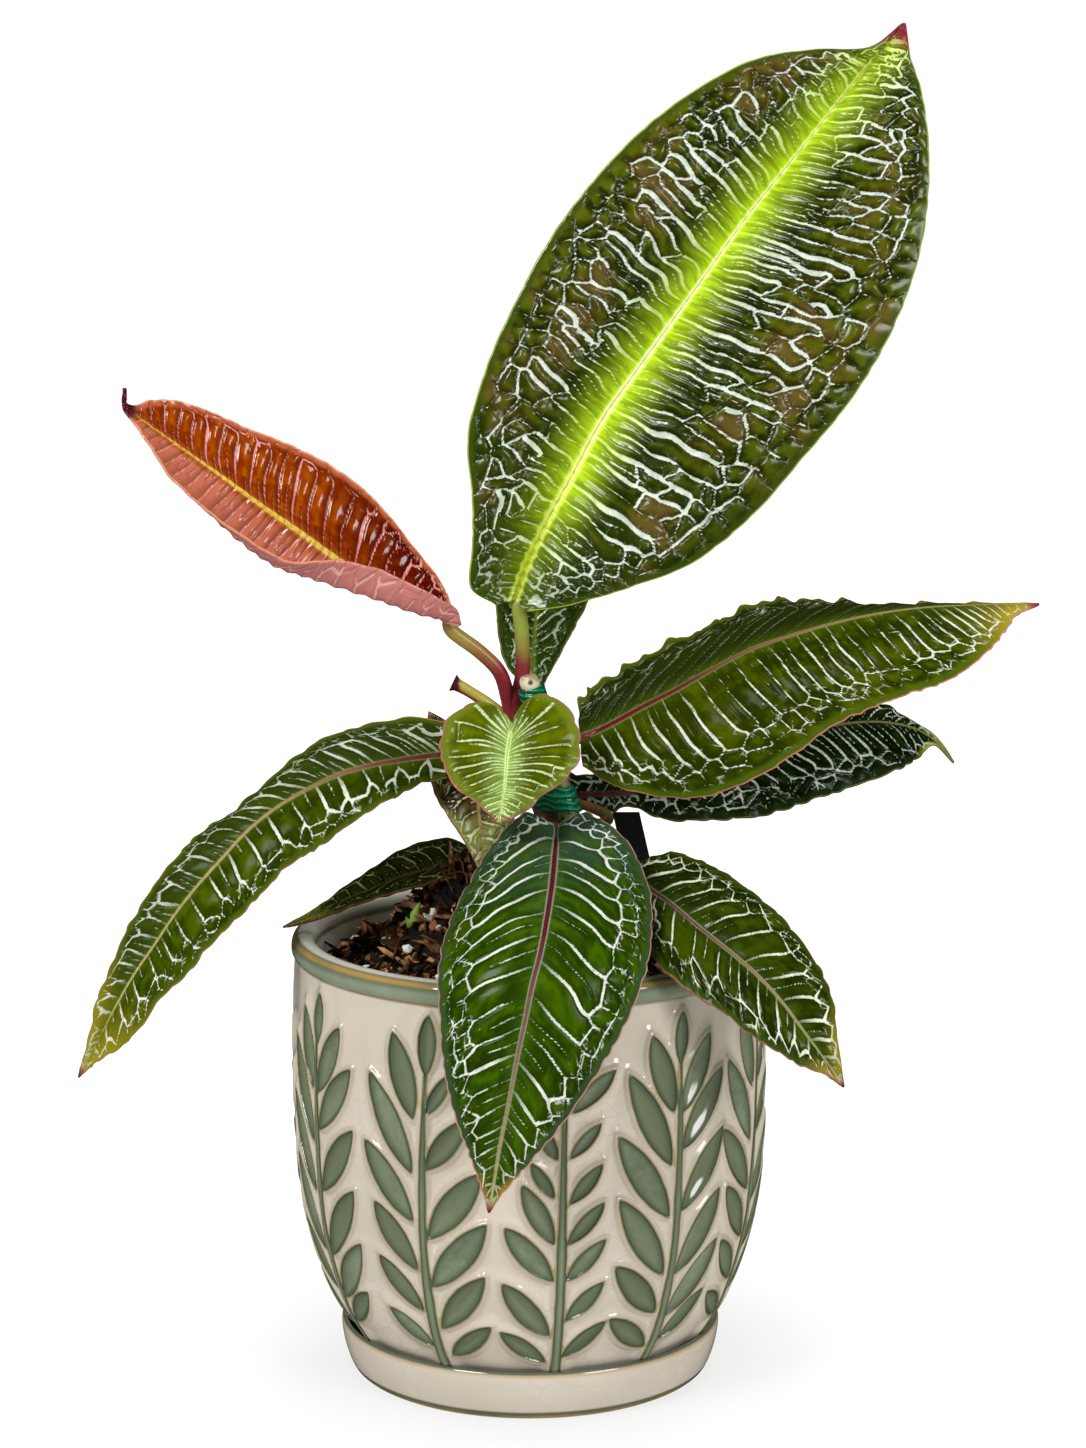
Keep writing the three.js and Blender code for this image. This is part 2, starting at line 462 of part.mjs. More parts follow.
// The blade is a grid of points on its upper face and the same grid a thickness below
function bladeSolid(leaf) {
  const rib = curveThrough(leaf.rows.map((r) => r.slice(0, 3)));
  const left = curveThrough(leaf.rows.map((r) => r.slice(3, 6)));
  const right = curveThrough(leaf.rows.map((r) => r.slice(6, 9)));
  const { steps } = leaf;
  const spread = ACROSS[leaf.across]; // shares of the half width at which the columns stand
  const across = spread.length - 1;
  const grid = [];
  for (let i = 0; i <= steps; i += 1) {
    const t = i / steps;
    const middle = rib.getPoint(t);
    const forward = rib.getPoint(Math.min(t + 1e-3, 1)).sub(rib.getPoint(Math.max(t - 1e-3, 0))).normalize();
    const line = [];
    for (let j = -across; j <= across; j += 1) {
      const edge = (j < 0 ? left : right).getPoint(t).sub(middle);
      const width = edge.length();
      const outward = edge.clone().normalize();
      const normal = outward.clone().cross(forward).multiplyScalar(j < 0 ? -1 : 1).normalize();
      const q = spread[Math.abs(j)];
      const lift = readAlong(j < 0 ? leaf.leftLift : leaf.rightLift, t) * width * 4 * q * (1 - q);
      const scallop = (i % 2 ? 1 : -1) * q ** 3 * Math.min(1, width / 8);
      line.push(middle.clone().addScaledVector(outward, width * q + scallop * leaf.tooth)
        .addScaledVector(normal, lift + scallop * leaf.wave));
    }
    grid.push(line);
  }
  const columns = 2 * across + 1;
  const under = grid.map((line, i) => line.map((point, j) => {
    const ahead = grid[Math.min(i + 1, steps)][j].clone().sub(grid[Math.max(i - 1, 0)][j]);
    const aside = line[Math.min(j + 1, columns - 1)].clone().sub(line[Math.max(j - 1, 0)]);
    const down = ahead.cross(aside).normalize();
    const keel = j === across ? THREE.MathUtils.lerp(leaf.ribRadius, 0.2, i / steps) * 1.3 : 0;
    return point.clone().addScaledVector(down, BLADE_THICKNESS + keel);
  }));
  const positions = [...grid.flat(), ...under.flat()].flatMap((p) => p.toArray());
  const offset = (steps + 1) * columns;
  const index = [];
  const face = (a, b, c, d) => index.push(a, b, c, a, c, d);
  for (let i = 0; i < steps; i += 1) {
    for (let j = 0; j + 1 < columns; j += 1) {
      const a = i * columns + j, b = a + 1, c = b + columns, d = a + columns;
      face(a, b, c, d);
      index.push(offset + a, offset + c, offset + b, offset + a, offset + d, offset + c);
    }
    const l = i * columns, r = l + columns - 1;
    face(l, l + columns, offset + l + columns, offset + l);
    face(r, offset + r, offset + r + columns, r + columns);
  }
  const end = steps * columns;
  for (let j = 0; j + 1 < columns; j += 1) {
    face(j, offset + j, offset + j + 1, j + 1);
    face(end + j, end + j + 1, offset + end + j + 1, offset + end + j);
  }
  const geometry = new THREE.BufferGeometry();
  geometry.setAttribute('position', new THREE.Float32BufferAttribute(positions, 3));
  geometry.setIndex(index);
  return { solid: toSolid(geometry), grid, under };
}

// Blade with its keeled midrib and the petiole in one solid, cut short of the stem it grows from
function leafSolid(leaf) {
  const blade = bladeSolid(leaf);
  const middle = (blade.grid[0].length - 1) / 2;
  const inside = [0, 1, 2].map((i) => blade.grid[i][middle].clone().add(blade.under[i][middle]).multiplyScalar(0.5));
  const path = [...leaf.petiole.slice(0, -1), ...inside.map((p) => p.toArray())];
  const radii = path.map((_, i) => (i < path.length - 3 ? leaf.footRadius
    : [leaf.ribRadius * 1.15, leaf.ribRadius, leaf.ribRadius * 0.8][i - path.length + 3]));
  const petiole = tubeSolid(path, radii, path.length, 5);
  return largestBody(blade.solid.add(petiole).subtract(stemRoom));
}

// Stem, with the stub of a lost leaf
const stem = tubeSolid(STEM, STEM_RADII, 11, 8).add(tubeSolid(STUB, STUB_RADII, 3, 6));
const stemRoom = tubeSolid(STEM, STEM_RADII, 11, 8, FIT_GAP)
  .add(tubeSolid([...STUB.slice(0, -1), [-24, 2, 219.4]], STUB_RADII, 3, 6, FIT_GAP));

// Cane and its two ties
const cane = tubeSolid([CANE_TOP, CANE_FOOT], [CANE_RADIUS, CANE_RADIUS], 4, 12);
const caneRoom = tubeSolid([CANE_TOP, CANE_FOOT], [CANE_RADIUS, CANE_RADIUS], 4, 12, FIT_GAP);
function caneAt(z) {
  const t = (CANE_TOP[2] - z) / (CANE_TOP[2] - CANE_FOOT[2]);
  return new THREE.Vector3(...CANE_TOP).lerp(new THREE.Vector3(...CANE_FOOT), t);
}
const upperTie = tubeSolid(
  [caneAt(219).toArray(), caneAt(206).toArray()], [CANE_RADIUS, CANE_RADIUS], 2, 12, FIT_GAP + TIE_THICKNESS,
).subtract(caneRoom);
const stemCurve = curveThrough(STEM);
function stemAt(z) {
  let t = 0;
  while (t < 1 && stemCurve.getPoint(t).z > z) t += 0.002;
  return stemCurve.getPoint(t);
}
function tieOutline(z) {
  const a = caneAt(z), b = stemAt(z);
  const along = Math.atan2(a.y - b.y, a.x - b.x);
  return Array.from({ length: 16 }, (_, k) => {
    const turn = along + ((k + 0.5) / 16) * 2 * Math.PI;
    const centre = k < 4 || k > 11 ? a : b;
    const radius = (k < 4 || k > 11 ? CANE_RADIUS : 4.1) + FIT_GAP + TIE_THICKNESS;
    return new THREE.Vector3(centre.x + Math.cos(turn) * radius, centre.y + Math.sin(turn) * radius, z);
  });
}
const lowerTie = largestBody(skinSolid([tieOutline(188), tieOutline(184), tieOutline(180)])
  .subtract(caneRoom).subtract(stemRoom));

// Plant label: a plain flat peg
function labelSolid(extra) {
  const [wide, thick] = LABEL_SIZE;
  const ring = ([x, y, z], scale) => [[-1, -1], [1, -1], [1, 1], [-1, 1]].map(([a, b]) => new THREE.Vector3(
    x + a * (wide / 2 + extra) * scale, y + b * (thick / 2 + extra), z));
  const top = LABEL_TOP, foot = LABEL_FOOT;
  const shoulder = top.map((v, i) => v + (foot[i] - v) * 0.72);
  return skinSolid([ring(top, 1), ring(shoulder, 1), ring([foot[0], foot[1], foot[2] - extra], 0.35)]);
}
const label = labelSolid(0);

// Pot with its raised sprigs
let pot = latheSolid([...POT_OUTER, ...POT_RIM, ...POT_INNER, POT_OUTER[0]], LATHE_SIDES);
for (const [angle, template] of SPRIGS) {
  let sprig = sprigStemSolid(angle, template[0][1] + 2);
  for (const leaf of template) sprig = sprig.add(sprigLeafSolid(angle, leaf));
  pot = pot.add(sprig);
}
const saucer = latheSolid(SAUCER, LATHE_SIDES);

// Potting mix: an uneven top with bark chips sunk into it
const random = seededRandom(7);
const soilGeometry = new THREE.LatheGeometry(SOIL.map(([r, z]) => new THREE.Vector2(r, z)), 24);
soilGeometry.rotateX(Math.PI / 2);
const soilPoints = soilGeometry.getAttribute('position');
for (let i = 0; i < soilPoints.count; i += 1) {
  const x = soilPoints.getX(i), y = soilPoints.getY(i), z = soilPoints.getZ(i);
  if (z > SOIL_TOP - 0.1) {
    soilPoints.setZ(i, z + 1.3 * Math.sin(x * 0.31 + 1) * Math.cos(y * 0.27) + 0.7 * Math.sin(x * 0.13 - y * 0.4));
  }
}
let soil = toSolid(soilGeometry);
for (let k = 0; k < CHIP_COUNT; k += 1) {
  const angle = k * 2.399963 + random() * 0.3;
  const reach = 60 * Math.sqrt((k + 0.6) / CHIP_COUNT);
  const length = 8 + random() * 6;
  const chip = new THREE.BoxGeometry(length, 3.5 + random() * 3, 2.6 + random() * 1.6);
  const corners = chip.getAttribute('position');
  for (let i = 0; i < corners.count; i += 1) {
    const taper = corners.getX(i) > 0 ? 0.62 : 1;
    corners.setY(i, corners.getY(i) * taper);
    corners.setZ(i, corners.getZ(i) * (corners.getY(i) > 0 ? 0.8 : 1));
  }
  chip.rotateX((random() - 0.5) * 0.7);
  chip.rotateY((random() - 0.5) * 0.6);
  chip.rotateZ(random() * Math.PI * 2);
  chip.translate(Math.cos(angle) * reach, Math.sin(angle) * reach, SOIL_TOP + 0.9 + random() * 1.2);
  soil = soil.add(toSolid(chip));
}
soil = largestBody(soil.subtract(stemRoom).subtract(caneRoom).subtract(labelSolid(FIT_GAP)));

addPiece('saucer', saucer, 0xd8cfc0, 0.25);
addPiece('pot', pot, 0xc9c2ae, 0.2);
addPiece('potting_mix', soil, 0x3a2417, 0.95);
addPiece('stem', stem, 0x7a2f2c, 0.5);
addPiece('cane', cane, 0xcbbd96, 0.8);
addPiece('tie_upper', upperTie, 0x1f7a55, 0.5);
addPiece('tie_lower', lowerTie, 0x1f7a55, 0.5);
addPiece('plant_label', label, 0x23252a, 0.45);
for (const [name, leaf] of Object.entries(LEAVES)) addPiece(name, leafSolid(leaf), leaf.colour, 0.45);

export default group;
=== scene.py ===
# Looks of the potted labisia. Blender works in metres here, and the sizes below are in millimetres.
import math
import bpy
import numpy as np
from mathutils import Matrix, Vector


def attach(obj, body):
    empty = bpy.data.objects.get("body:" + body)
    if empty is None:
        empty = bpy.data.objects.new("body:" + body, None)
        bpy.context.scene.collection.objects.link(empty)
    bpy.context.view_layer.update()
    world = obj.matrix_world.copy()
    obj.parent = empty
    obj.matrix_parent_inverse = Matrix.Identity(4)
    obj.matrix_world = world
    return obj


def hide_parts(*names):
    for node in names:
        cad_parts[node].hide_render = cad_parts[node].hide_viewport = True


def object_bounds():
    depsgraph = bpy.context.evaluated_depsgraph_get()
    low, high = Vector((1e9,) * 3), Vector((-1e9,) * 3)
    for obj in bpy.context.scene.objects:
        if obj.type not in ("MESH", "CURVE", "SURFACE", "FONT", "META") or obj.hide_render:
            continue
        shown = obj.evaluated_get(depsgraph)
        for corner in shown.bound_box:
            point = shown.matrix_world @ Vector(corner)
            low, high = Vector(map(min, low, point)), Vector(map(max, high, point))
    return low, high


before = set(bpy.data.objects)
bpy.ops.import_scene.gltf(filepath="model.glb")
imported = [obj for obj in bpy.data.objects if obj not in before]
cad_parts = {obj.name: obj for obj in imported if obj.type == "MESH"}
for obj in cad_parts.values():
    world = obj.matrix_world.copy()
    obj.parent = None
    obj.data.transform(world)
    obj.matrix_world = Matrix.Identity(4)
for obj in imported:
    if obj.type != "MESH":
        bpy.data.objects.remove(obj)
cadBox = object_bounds()
mm = 0.001


def linear(hexColour):
    # sRGB hex to the linear values that sockets take
    parts = [int(hexColour[i:i + 2], 16) / 255 for i in (1, 3, 5)]
    return (*[p / 12.92 if p <= 0.04045 else ((p + 0.055) / 1.055) ** 2.4 for p in parts], 1.0)


def addNode(tree, kind, inputs=(), out=0, stops=None, **settings):
    # adds one node, sets or links its inputs, and gives back one output
    node = tree.nodes.new(kind)
    for key, value in settings.items():
        setattr(node, key, value)
    for key, value in (inputs.items() if isinstance(inputs, dict) else enumerate(inputs)):
        socket = node.inputs[key]
        if isinstance(value, bpy.types.NodeSocket):
            tree.links.new(value, socket)
        elif isinstance(value, str) and value.startswith("#"):
            socket.default_value = linear(value)
        else:
            socket.default_value = value
    if stops:
        elements = node.color_ramp.elements
        while len(elements) < len(stops):
            elements.new(0.5)
        for element, (place, colour) in zip(elements, stops):
            element.position, element.color = place, linear(colour)
    return node.outputs[out] if node.outputs else node


def newMaterial(name):
    material = bpy.data.materials.new(name)
    material.use_nodes = True
    material.node_tree.nodes.clear()
    return material, material.node_tree


def closeMaterial(tree, inputs):
    shader = addNode(tree, "ShaderNodeBsdfPrincipled", inputs)
    addNode(tree, "ShaderNodeOutputMaterial", [shader])


def newMesh(name, points, faces, values=None, vectors=None, smooth=True):
    # points in millimetres; values and vectors are point attributes
    mesh = bpy.data.meshes.new(name)
    mesh.from_pydata((np.asarray(points, float) * mm).tolist(), [], [list(f) for f in faces])
    for key, data in (values or {}).items():
        layer = mesh.attributes.new(key, "FLOAT", "POINT")
        layer.data.foreach_set("value", np.asarray(data, np.float32).ravel())
    for key, data in (vectors or {}).items():
        layer = mesh.attributes.new(key, "FLOAT_VECTOR", "POINT")
        layer.data.foreach_set("vector", np.asarray(data, np.float32).ravel())
    mesh.polygons.foreach_set("use_smooth", np.full(len(mesh.polygons), smooth))
    mesh.update()
    piece = bpy.data.objects.new(name, mesh)
    bpy.context.scene.collection.objects.link(piece)
    return piece


def newTree(name, sockets):
    # a geometry tree with named inputs; gives the tree, its input node and its output node
    tree = bpy.data.node_groups.new(name, "GeometryNodeTree")
    tree.interface.new_socket("Geometry", in_out="INPUT", socket_type="NodeSocketGeometry")
    for label, kind in sockets:
        tree.interface.new_socket(label, in_out="INPUT", socket_type="NodeSocket" + kind)
    tree.interface.new_socket("Geometry", in_out="OUTPUT", socket_type="NodeSocketGeometry")
    return tree, tree.nodes.new("NodeGroupInput"), tree.nodes.new("NodeGroupOutput")


def endTree(tree, group, final, geometry):
    # every tree ends in Realize Instances and Set Material
    real = addNode(tree, "GeometryNodeRealizeInstances", [geometry])
    shaded = addNode(tree, "GeometryNodeSetMaterial", {0: real, 2: group.outputs["Material"]})
    tree.links.new(shaded, final.inputs[0])


def grow(piece, tree, settings):
    # runs a tree on a piece, and leaves the piece as a plain mesh
    modifier = piece.modifiers.new("grow", "NODES")
    modifier.node_group = tree
    for item in tree.interface.items_tree:
        if item.in_out == "INPUT" and item.name in settings:
            modifier[item.identifier] = settings[item.name]
    bpy.context.view_layer.update()
    seen = piece.evaluated_get(bpy.context.evaluated_depsgraph_get())
    mesh = bpy.data.meshes.new_from_object(seen)
    old = piece.data
    piece.modifiers.remove(modifier)
    piece.data = mesh
    bpy.data.meshes.remove(old)
    mesh.name = piece.name
    return piece


def joined(name, pieces):
    for piece in pieces:
        piece.select_set(True)
    with bpy.context.temp_override(active_object=pieces[0], selected_editable_objects=pieces):
        bpy.ops.object.join()
    pieces[0].name = name
    pieces[0].select_set(False)
    return pieces[0]


def settle(piece, node):
    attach(piece, "root")
    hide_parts(node)


def keepInside(piece):
    # no point of a finished piece lies outside the solids' box
    places = np.zeros(len(piece.data.vertices) * 3, np.float32)
    piece.data.vertices.foreach_get("co", places)
    low, high = (np.array(v, np.float32) for v in cadBox)
    # eased within a millimetre of a side, so that a sheet's two faces stay apart
    places = low + np.logaddexp(0, (places.reshape(-1, 3) - low) / 4e-4) * 4e-4
    places = high - np.logaddexp(0, (high - places) / 4e-4) * 4e-4
    piece.data.vertices.foreach_set("co", places.ravel())


def curveAt(points, shares):
    # a smooth line through points, read at shares of its length in rows
    points = np.asarray(points, float)
    ends = np.vstack([2 * points[0] - points[1], points, 2 * points[-1] - points[-2]])
    place = np.clip(np.asarray(shares, float), 0, 1) * (len(points) - 1)
    i = np.minimum(place.astype(int), len(points) - 2)
    f = (place - i)[:, None]
    a, b, c, d = (ends[i + k] for k in range(4))
    return b + 0.5 * f * (c - a + f * (2 * a - 5 * b + 4 * c - d + f * (3 * (b - c) + d - a)))


def readAlong(values, shares):
    # values spaced evenly along a line, read at shares of its length
    return np.interp(shares, np.linspace(0, 1, len(values)), values)


def gridFaces(rows, columns, closed=False, flip=False):
    # quads between rows of points; a closed grid joins its last column to its first
    i, j = np.meshgrid(np.arange(rows - 1), np.arange(columns if closed else columns - 1), indexing="ij")
    right = (j + 1) % columns
    low, high = i * columns, (i + 1) * columns
    quads = np.stack([low + j, low + right, high + right, high + j], -1).reshape(-1, 4)
    return quads[:, ::-1] if flip else quads


# Studio: the photograph's view, a white floor and large soft lights
studio = {
    "eye": (4.1, -1100.0, 405.5), "pitch": 10.24, "lens": 89.0, "sensor": 36.0,
    "floor": "#6e6e6d", "floorHalf": 2300, "backdrop": "#ffffff", "backdropRadius": 2250.0, "sky": 0.2,
    # each light's power, width, place and height of its target on the axis, in metres, and whether it mirrors
    "lights": {
        "key": (25.0, 0.5, (-0.95, -1.05, 1.35), 0.2, True), "fill": (17.0, 0.6, (1.2, -1.2, 0.9), 0.15, True),
        "top": (15.0, 1.5, (0.1, 0.1, 1.95), 0.1, False), "back": (8.0, 0.6, (0.6, 1.3, 1.1), 0.15, False),
    },
}


def buildStudio():
    scene = bpy.context.scene
    scene.view_settings.view_transform = "Standard"
    lens = bpy.data.cameras.new("camera")
    camera = bpy.data.objects.new("camera", lens)
    lens.sensor_width, lens.lens = studio["sensor"], studio["lens"]
    lens.clip_start, lens.clip_end = 0.05, 20
    camera.location = [v * mm for v in studio["eye"]]
    camera.rotation_euler = (math.radians(90 - studio["pitch"]), 0, 0)
    scene.collection.objects.link(camera)
    scene.camera = camera
    for name, (power, size, place, height, mirrored) in studio["lights"].items():
        light = bpy.data.lights.new(name, "AREA")
        light.energy, light.size, light.color = power, size, (1, 1, 1)
        lamp = bpy.data.objects.new(name, light)
        lamp.location = place
        toward = [t - p for t, p in zip((0, 0, height), place)]
        flat = math.hypot(toward[0], toward[1])
        lamp.rotation_euler = (math.atan2(flat, -toward[2]), 0, math.atan2(toward[1], toward[0]) - math.pi / 2)
        lamp.visible_camera = False
        lamp.visible_glossy = mirrored
        scene.collection.objects.link(lamp)
    world = bpy.data.worlds.new("paleRoom")
    world.use_nodes = True
    background = world.node_tree.nodes["Background"]
    background.inputs[0].default_value = (1, 1, 1, 1)
    background.inputs[1].default_value = studio["sky"]
    scene.world = world
    world.cycles_visibility.glossy = False
    # floor whose glow is dimmed near the middle as a painted contact shadow round the saucer, which meets a
    # white paper backdrop that only the camera sees
    material, tree = newMaterial("paintedFloor")
    place = addNode(tree, "ShaderNodeTexCoord", out=3)
    away = addNode(tree, "ShaderNodeVectorMath", [place], out=1, operation="LENGTH")
    # the glow rises from 0.71 by the saucer to 0.96 at 15 cm: a painted contact shadow
    near, distant = (addNode(tree, "ShaderNodeMapRange", [away, *run], interpolation_type="SMOOTHSTEP")
                     for run in ((0.03, 0.15, 0.71, 0.96), (0.2, 0.8, 0.0, 0.2)))
    glowWithPaintedShadow = addNode(tree, "ShaderNodeMath", [near, distant], operation="ADD")
    closeMaterial(tree, {"Base Color": studio["floor"], "Roughness": 0.7, "Emission Color": studio["backdrop"],
                         "Emission Strength": glowWithPaintedShadow})
    side = studio["floorHalf"]
    floor = newMesh("floor", [(-side, -side, 0), (side, -side, 0), (side, side, 0), (-side, side, 0)],
                    [(0, 1, 2, 3)])
    floor.data.materials.append(material)
    material, tree = newMaterial("whitePaper")
    closeMaterial(tree, {"Base Color": "#000000", "Emission Color": studio["backdrop"],
                         "Emission Strength": 1.0})
    rows, columns, reach = 14, 48, studio["backdropRadius"]
    turn = np.arange(columns) / columns * 2 * math.pi
    tilt = np.linspace(-0.02, math.pi / 2, rows)[:, None]
    bowl = np.stack([np.sin(turn) * np.cos(tilt) * reach, -np.cos(turn) * np.cos(tilt) * reach,
                     np.sin(tilt) * reach * np.ones(columns)], -1).reshape(-1, 3)
    paper = newMesh("backdrop", bowl, gridFaces(rows, columns, closed=True, flip=True))
    paper.data.materials.append(material)
    for seen in ("visible_diffuse", "visible_glossy", "visible_transmission", "visible_shadow"):
        setattr(paper, seen, False)
    floor.visible_glossy = False


# Pot and saucer: the solids' profiles as [radius, height], drawn finer and with the sprigs raised softly
potShape = {
    "columns": 520,
    "foot": [[42.6, 7.3], [44, 5.3], [48, 5.3]],
    "wall": [[48, 5.3], [52.6, 9.5], [57.3, 16.5], [63.4, 27], [68.5, 41.5], [71.9, 57], [73.6, 77],
             [74.1, 104], [73.3, 130], [73.2, 134]],
    "rim": [[73.2, 134], [74.7, 134.9], [75.2, 137], [74.6, 139.6], [72.9, 140.9], [70.6, 141.2], [68.7, 140.4],
            [67.8, 138], [68.2, 134]],
    "inside": [[68.2, 134], [68.8, 104], [67.4, 66], [61.6, 38], [46, 12.3]],
    "hole": [[6, 12.3], [6, 7.3]],
    "leafRise": 1.3, "leafDish": 2.5, "shoulder": 2.6, "stemHalf": 1.9, "stemRise": 1.5,
    "bandMiddle": 136.2, "bandInner": 71.5,  # the green band outside the rim
    "topInner": 72.8, "topFrom": 137, "topPale": 0.62,  # where the rim's top turns pale
    "gilt": [[139.9, 0.55, 1.0], [134.3, 0.5, 0.45]],  # each gilt line's height, width and strength
}
farGap = 30.0  # stands for no sprig near
stemTone = 0.35  # marks a sprig's stem among the tones of its leaves
# Sprig leaves as [foot, height of the foot, tip, height of the tip], measured round the wall from the stem
sprigLeft = [
    [2.2, 111.8, 2.9, 131.7], [-1.8, 98, -9.4, 124.9], [-2.4, 81, -18.2, 111.4], [-2.4, 65.7, -20.6, 90.1],
    [-1.9, 49.9, -17.1, 70.8], [-2, 36, -16.7, 53.4], [-0.8, 23.6, -16.3, 36], [1.7, 99.5, 10.6, 114.2],
    [1.4, 82.7, 15.5, 100.9], [1.5, 60.7, 19.3, 83.9], [1.5, 45.1, 20.6, 67.9], [2.4, 30.8, 19, 50.9],
    [3.4, 21.1, 18.8, 33.8],
]
sprigMiddle = [
    [0.9, 108.7, 2, 124.3], [-0.9, 100.3, -7, 115.2], [-1, 87.4, -8.4, 101.5], [-1.8, 75.6, -9.6, 88.1],
    [-2, 61.3, -11.9, 80.9], [-1.9, 49.2, -17.2, 67.4], [-2.1, 29.6, -17.7, 49.2], [-2.5, 20.2, -17.7, 32.1],
    [2.4, 102.2, 16.5, 115.2], [1.7, 87.9, 12.2, 99.5], [1.8, 73.8, 12.6, 86.6], [1.5, 61.1, 13.3, 74.6],
    [1.2, 49.1, 13.9, 62.9], [1.3, 35.1, 13.9, 49.1], [1, 22.1, 14.6, 34.7],
]
sprigRight = [
    [0.3, 113.1, 1.7, 130.6], [-2, 98.6, -9.7, 124.4], [-2.4, 82, -17.7, 113.5], [-2.6, 65.6, -21.4, 94.9],
    [-2.4, 46.6, -20.4, 74.7], [-2.4, 34, -20.4, 53.6], [-2.4, 22, -18.8, 35.3], [1, 98.3, 12.9, 121.9],
    [1.2, 86.7, 18.6, 110], [1.6, 67.2, 19.6, 91.3], [1.4, 46.1, 18.6, 71.7], [1.2, 31.7, 19.4, 54.9],
    [1.2, 23.5, 16.9, 38.4],
]
# each sprig's angle from the front in degrees, and its leaves
sprigs = [
    (-60.5, sprigRight), (-26, sprigLeft), (7.5, sprigMiddle), (37, sprigRight), (67.5, sprigLeft),
    (101, sprigMiddle), (134, sprigRight), (167, sprigLeft), (200, sprigMiddle), (233, sprigRight),
    (266, sprigLeft),
]


def finer(profile, step):
    # the same profile with points a step apart
    profile = np.asarray(profile, float)
    shares = np.linspace(0, 1, 400)
    line = curveAt(profile, shares)
    run = np.concatenate([[0], np.cumsum(np.linalg.norm(np.diff(line, axis=0), axis=1))])
    count = max(2, int(run[-1] / step) + 1)
    return curveAt(profile, np.interp(np.linspace(0, run[-1], count), run, shares))


def sprigGap(angle, height, radius):
    # distance in millimetres outside the nearest sprig leaf or stem, negative inside it
    gap = np.full(angle.shape, farGap)
    tone = np.zeros(angle.shape)
    for number, (turn, template) in enumerate(sprigs):
        along = (np.mod(angle - math.radians(turn) + math.pi, 2 * math.pi) - math.pi) * radius
        near = np.abs(along) < 34
        top = template[0][1] + 1
        lean = template[0][0] * np.clip(height / top, 0, 1) ** 3
        stem = np.abs(along - lean) - potShape["stemHalf"] * (1 - 0.5 * np.clip(height / top, 0, 1) ** 2)
        stem = np.where(height > top, np.hypot(np.maximum(stem, 0), height - top), stem)
        better = near & (stem < gap)
        gap = np.where(better, stem, gap)
        tone = np.where(better, stemTone, tone)
        for k, (footAlong, footZ, tipAlong, tipZ) in enumerate(template):
            length = math.hypot(tipAlong - footAlong, tipZ - footZ)
            direction = ((tipAlong - footAlong) / length, (tipZ - footZ) / length)
            a = (along - footAlong) * direction[0] + (height - footZ) * direction[1]
            b = (along - footAlong) * direction[1] - (height - footZ) * direction[0]
            share = np.clip(a / length, 0, 1)
            half = min(0.165 * length, 4.7) * (4 * share * (1 - share)) ** 0.85
            past = np.maximum(np.maximum(-a, a - length), 0)
            leaf = np.where(past > 0, np.hypot(past, np.abs(b)), (np.abs(b) - half) * 0.93)
            better = near & (leaf < gap)
            gap = np.where(better, leaf, gap)
            tone = np.where(better, 0.3 + 0.7 * abs(math.sin(number * 5.1 + k * 2.3)), tone)
    return gap, tone


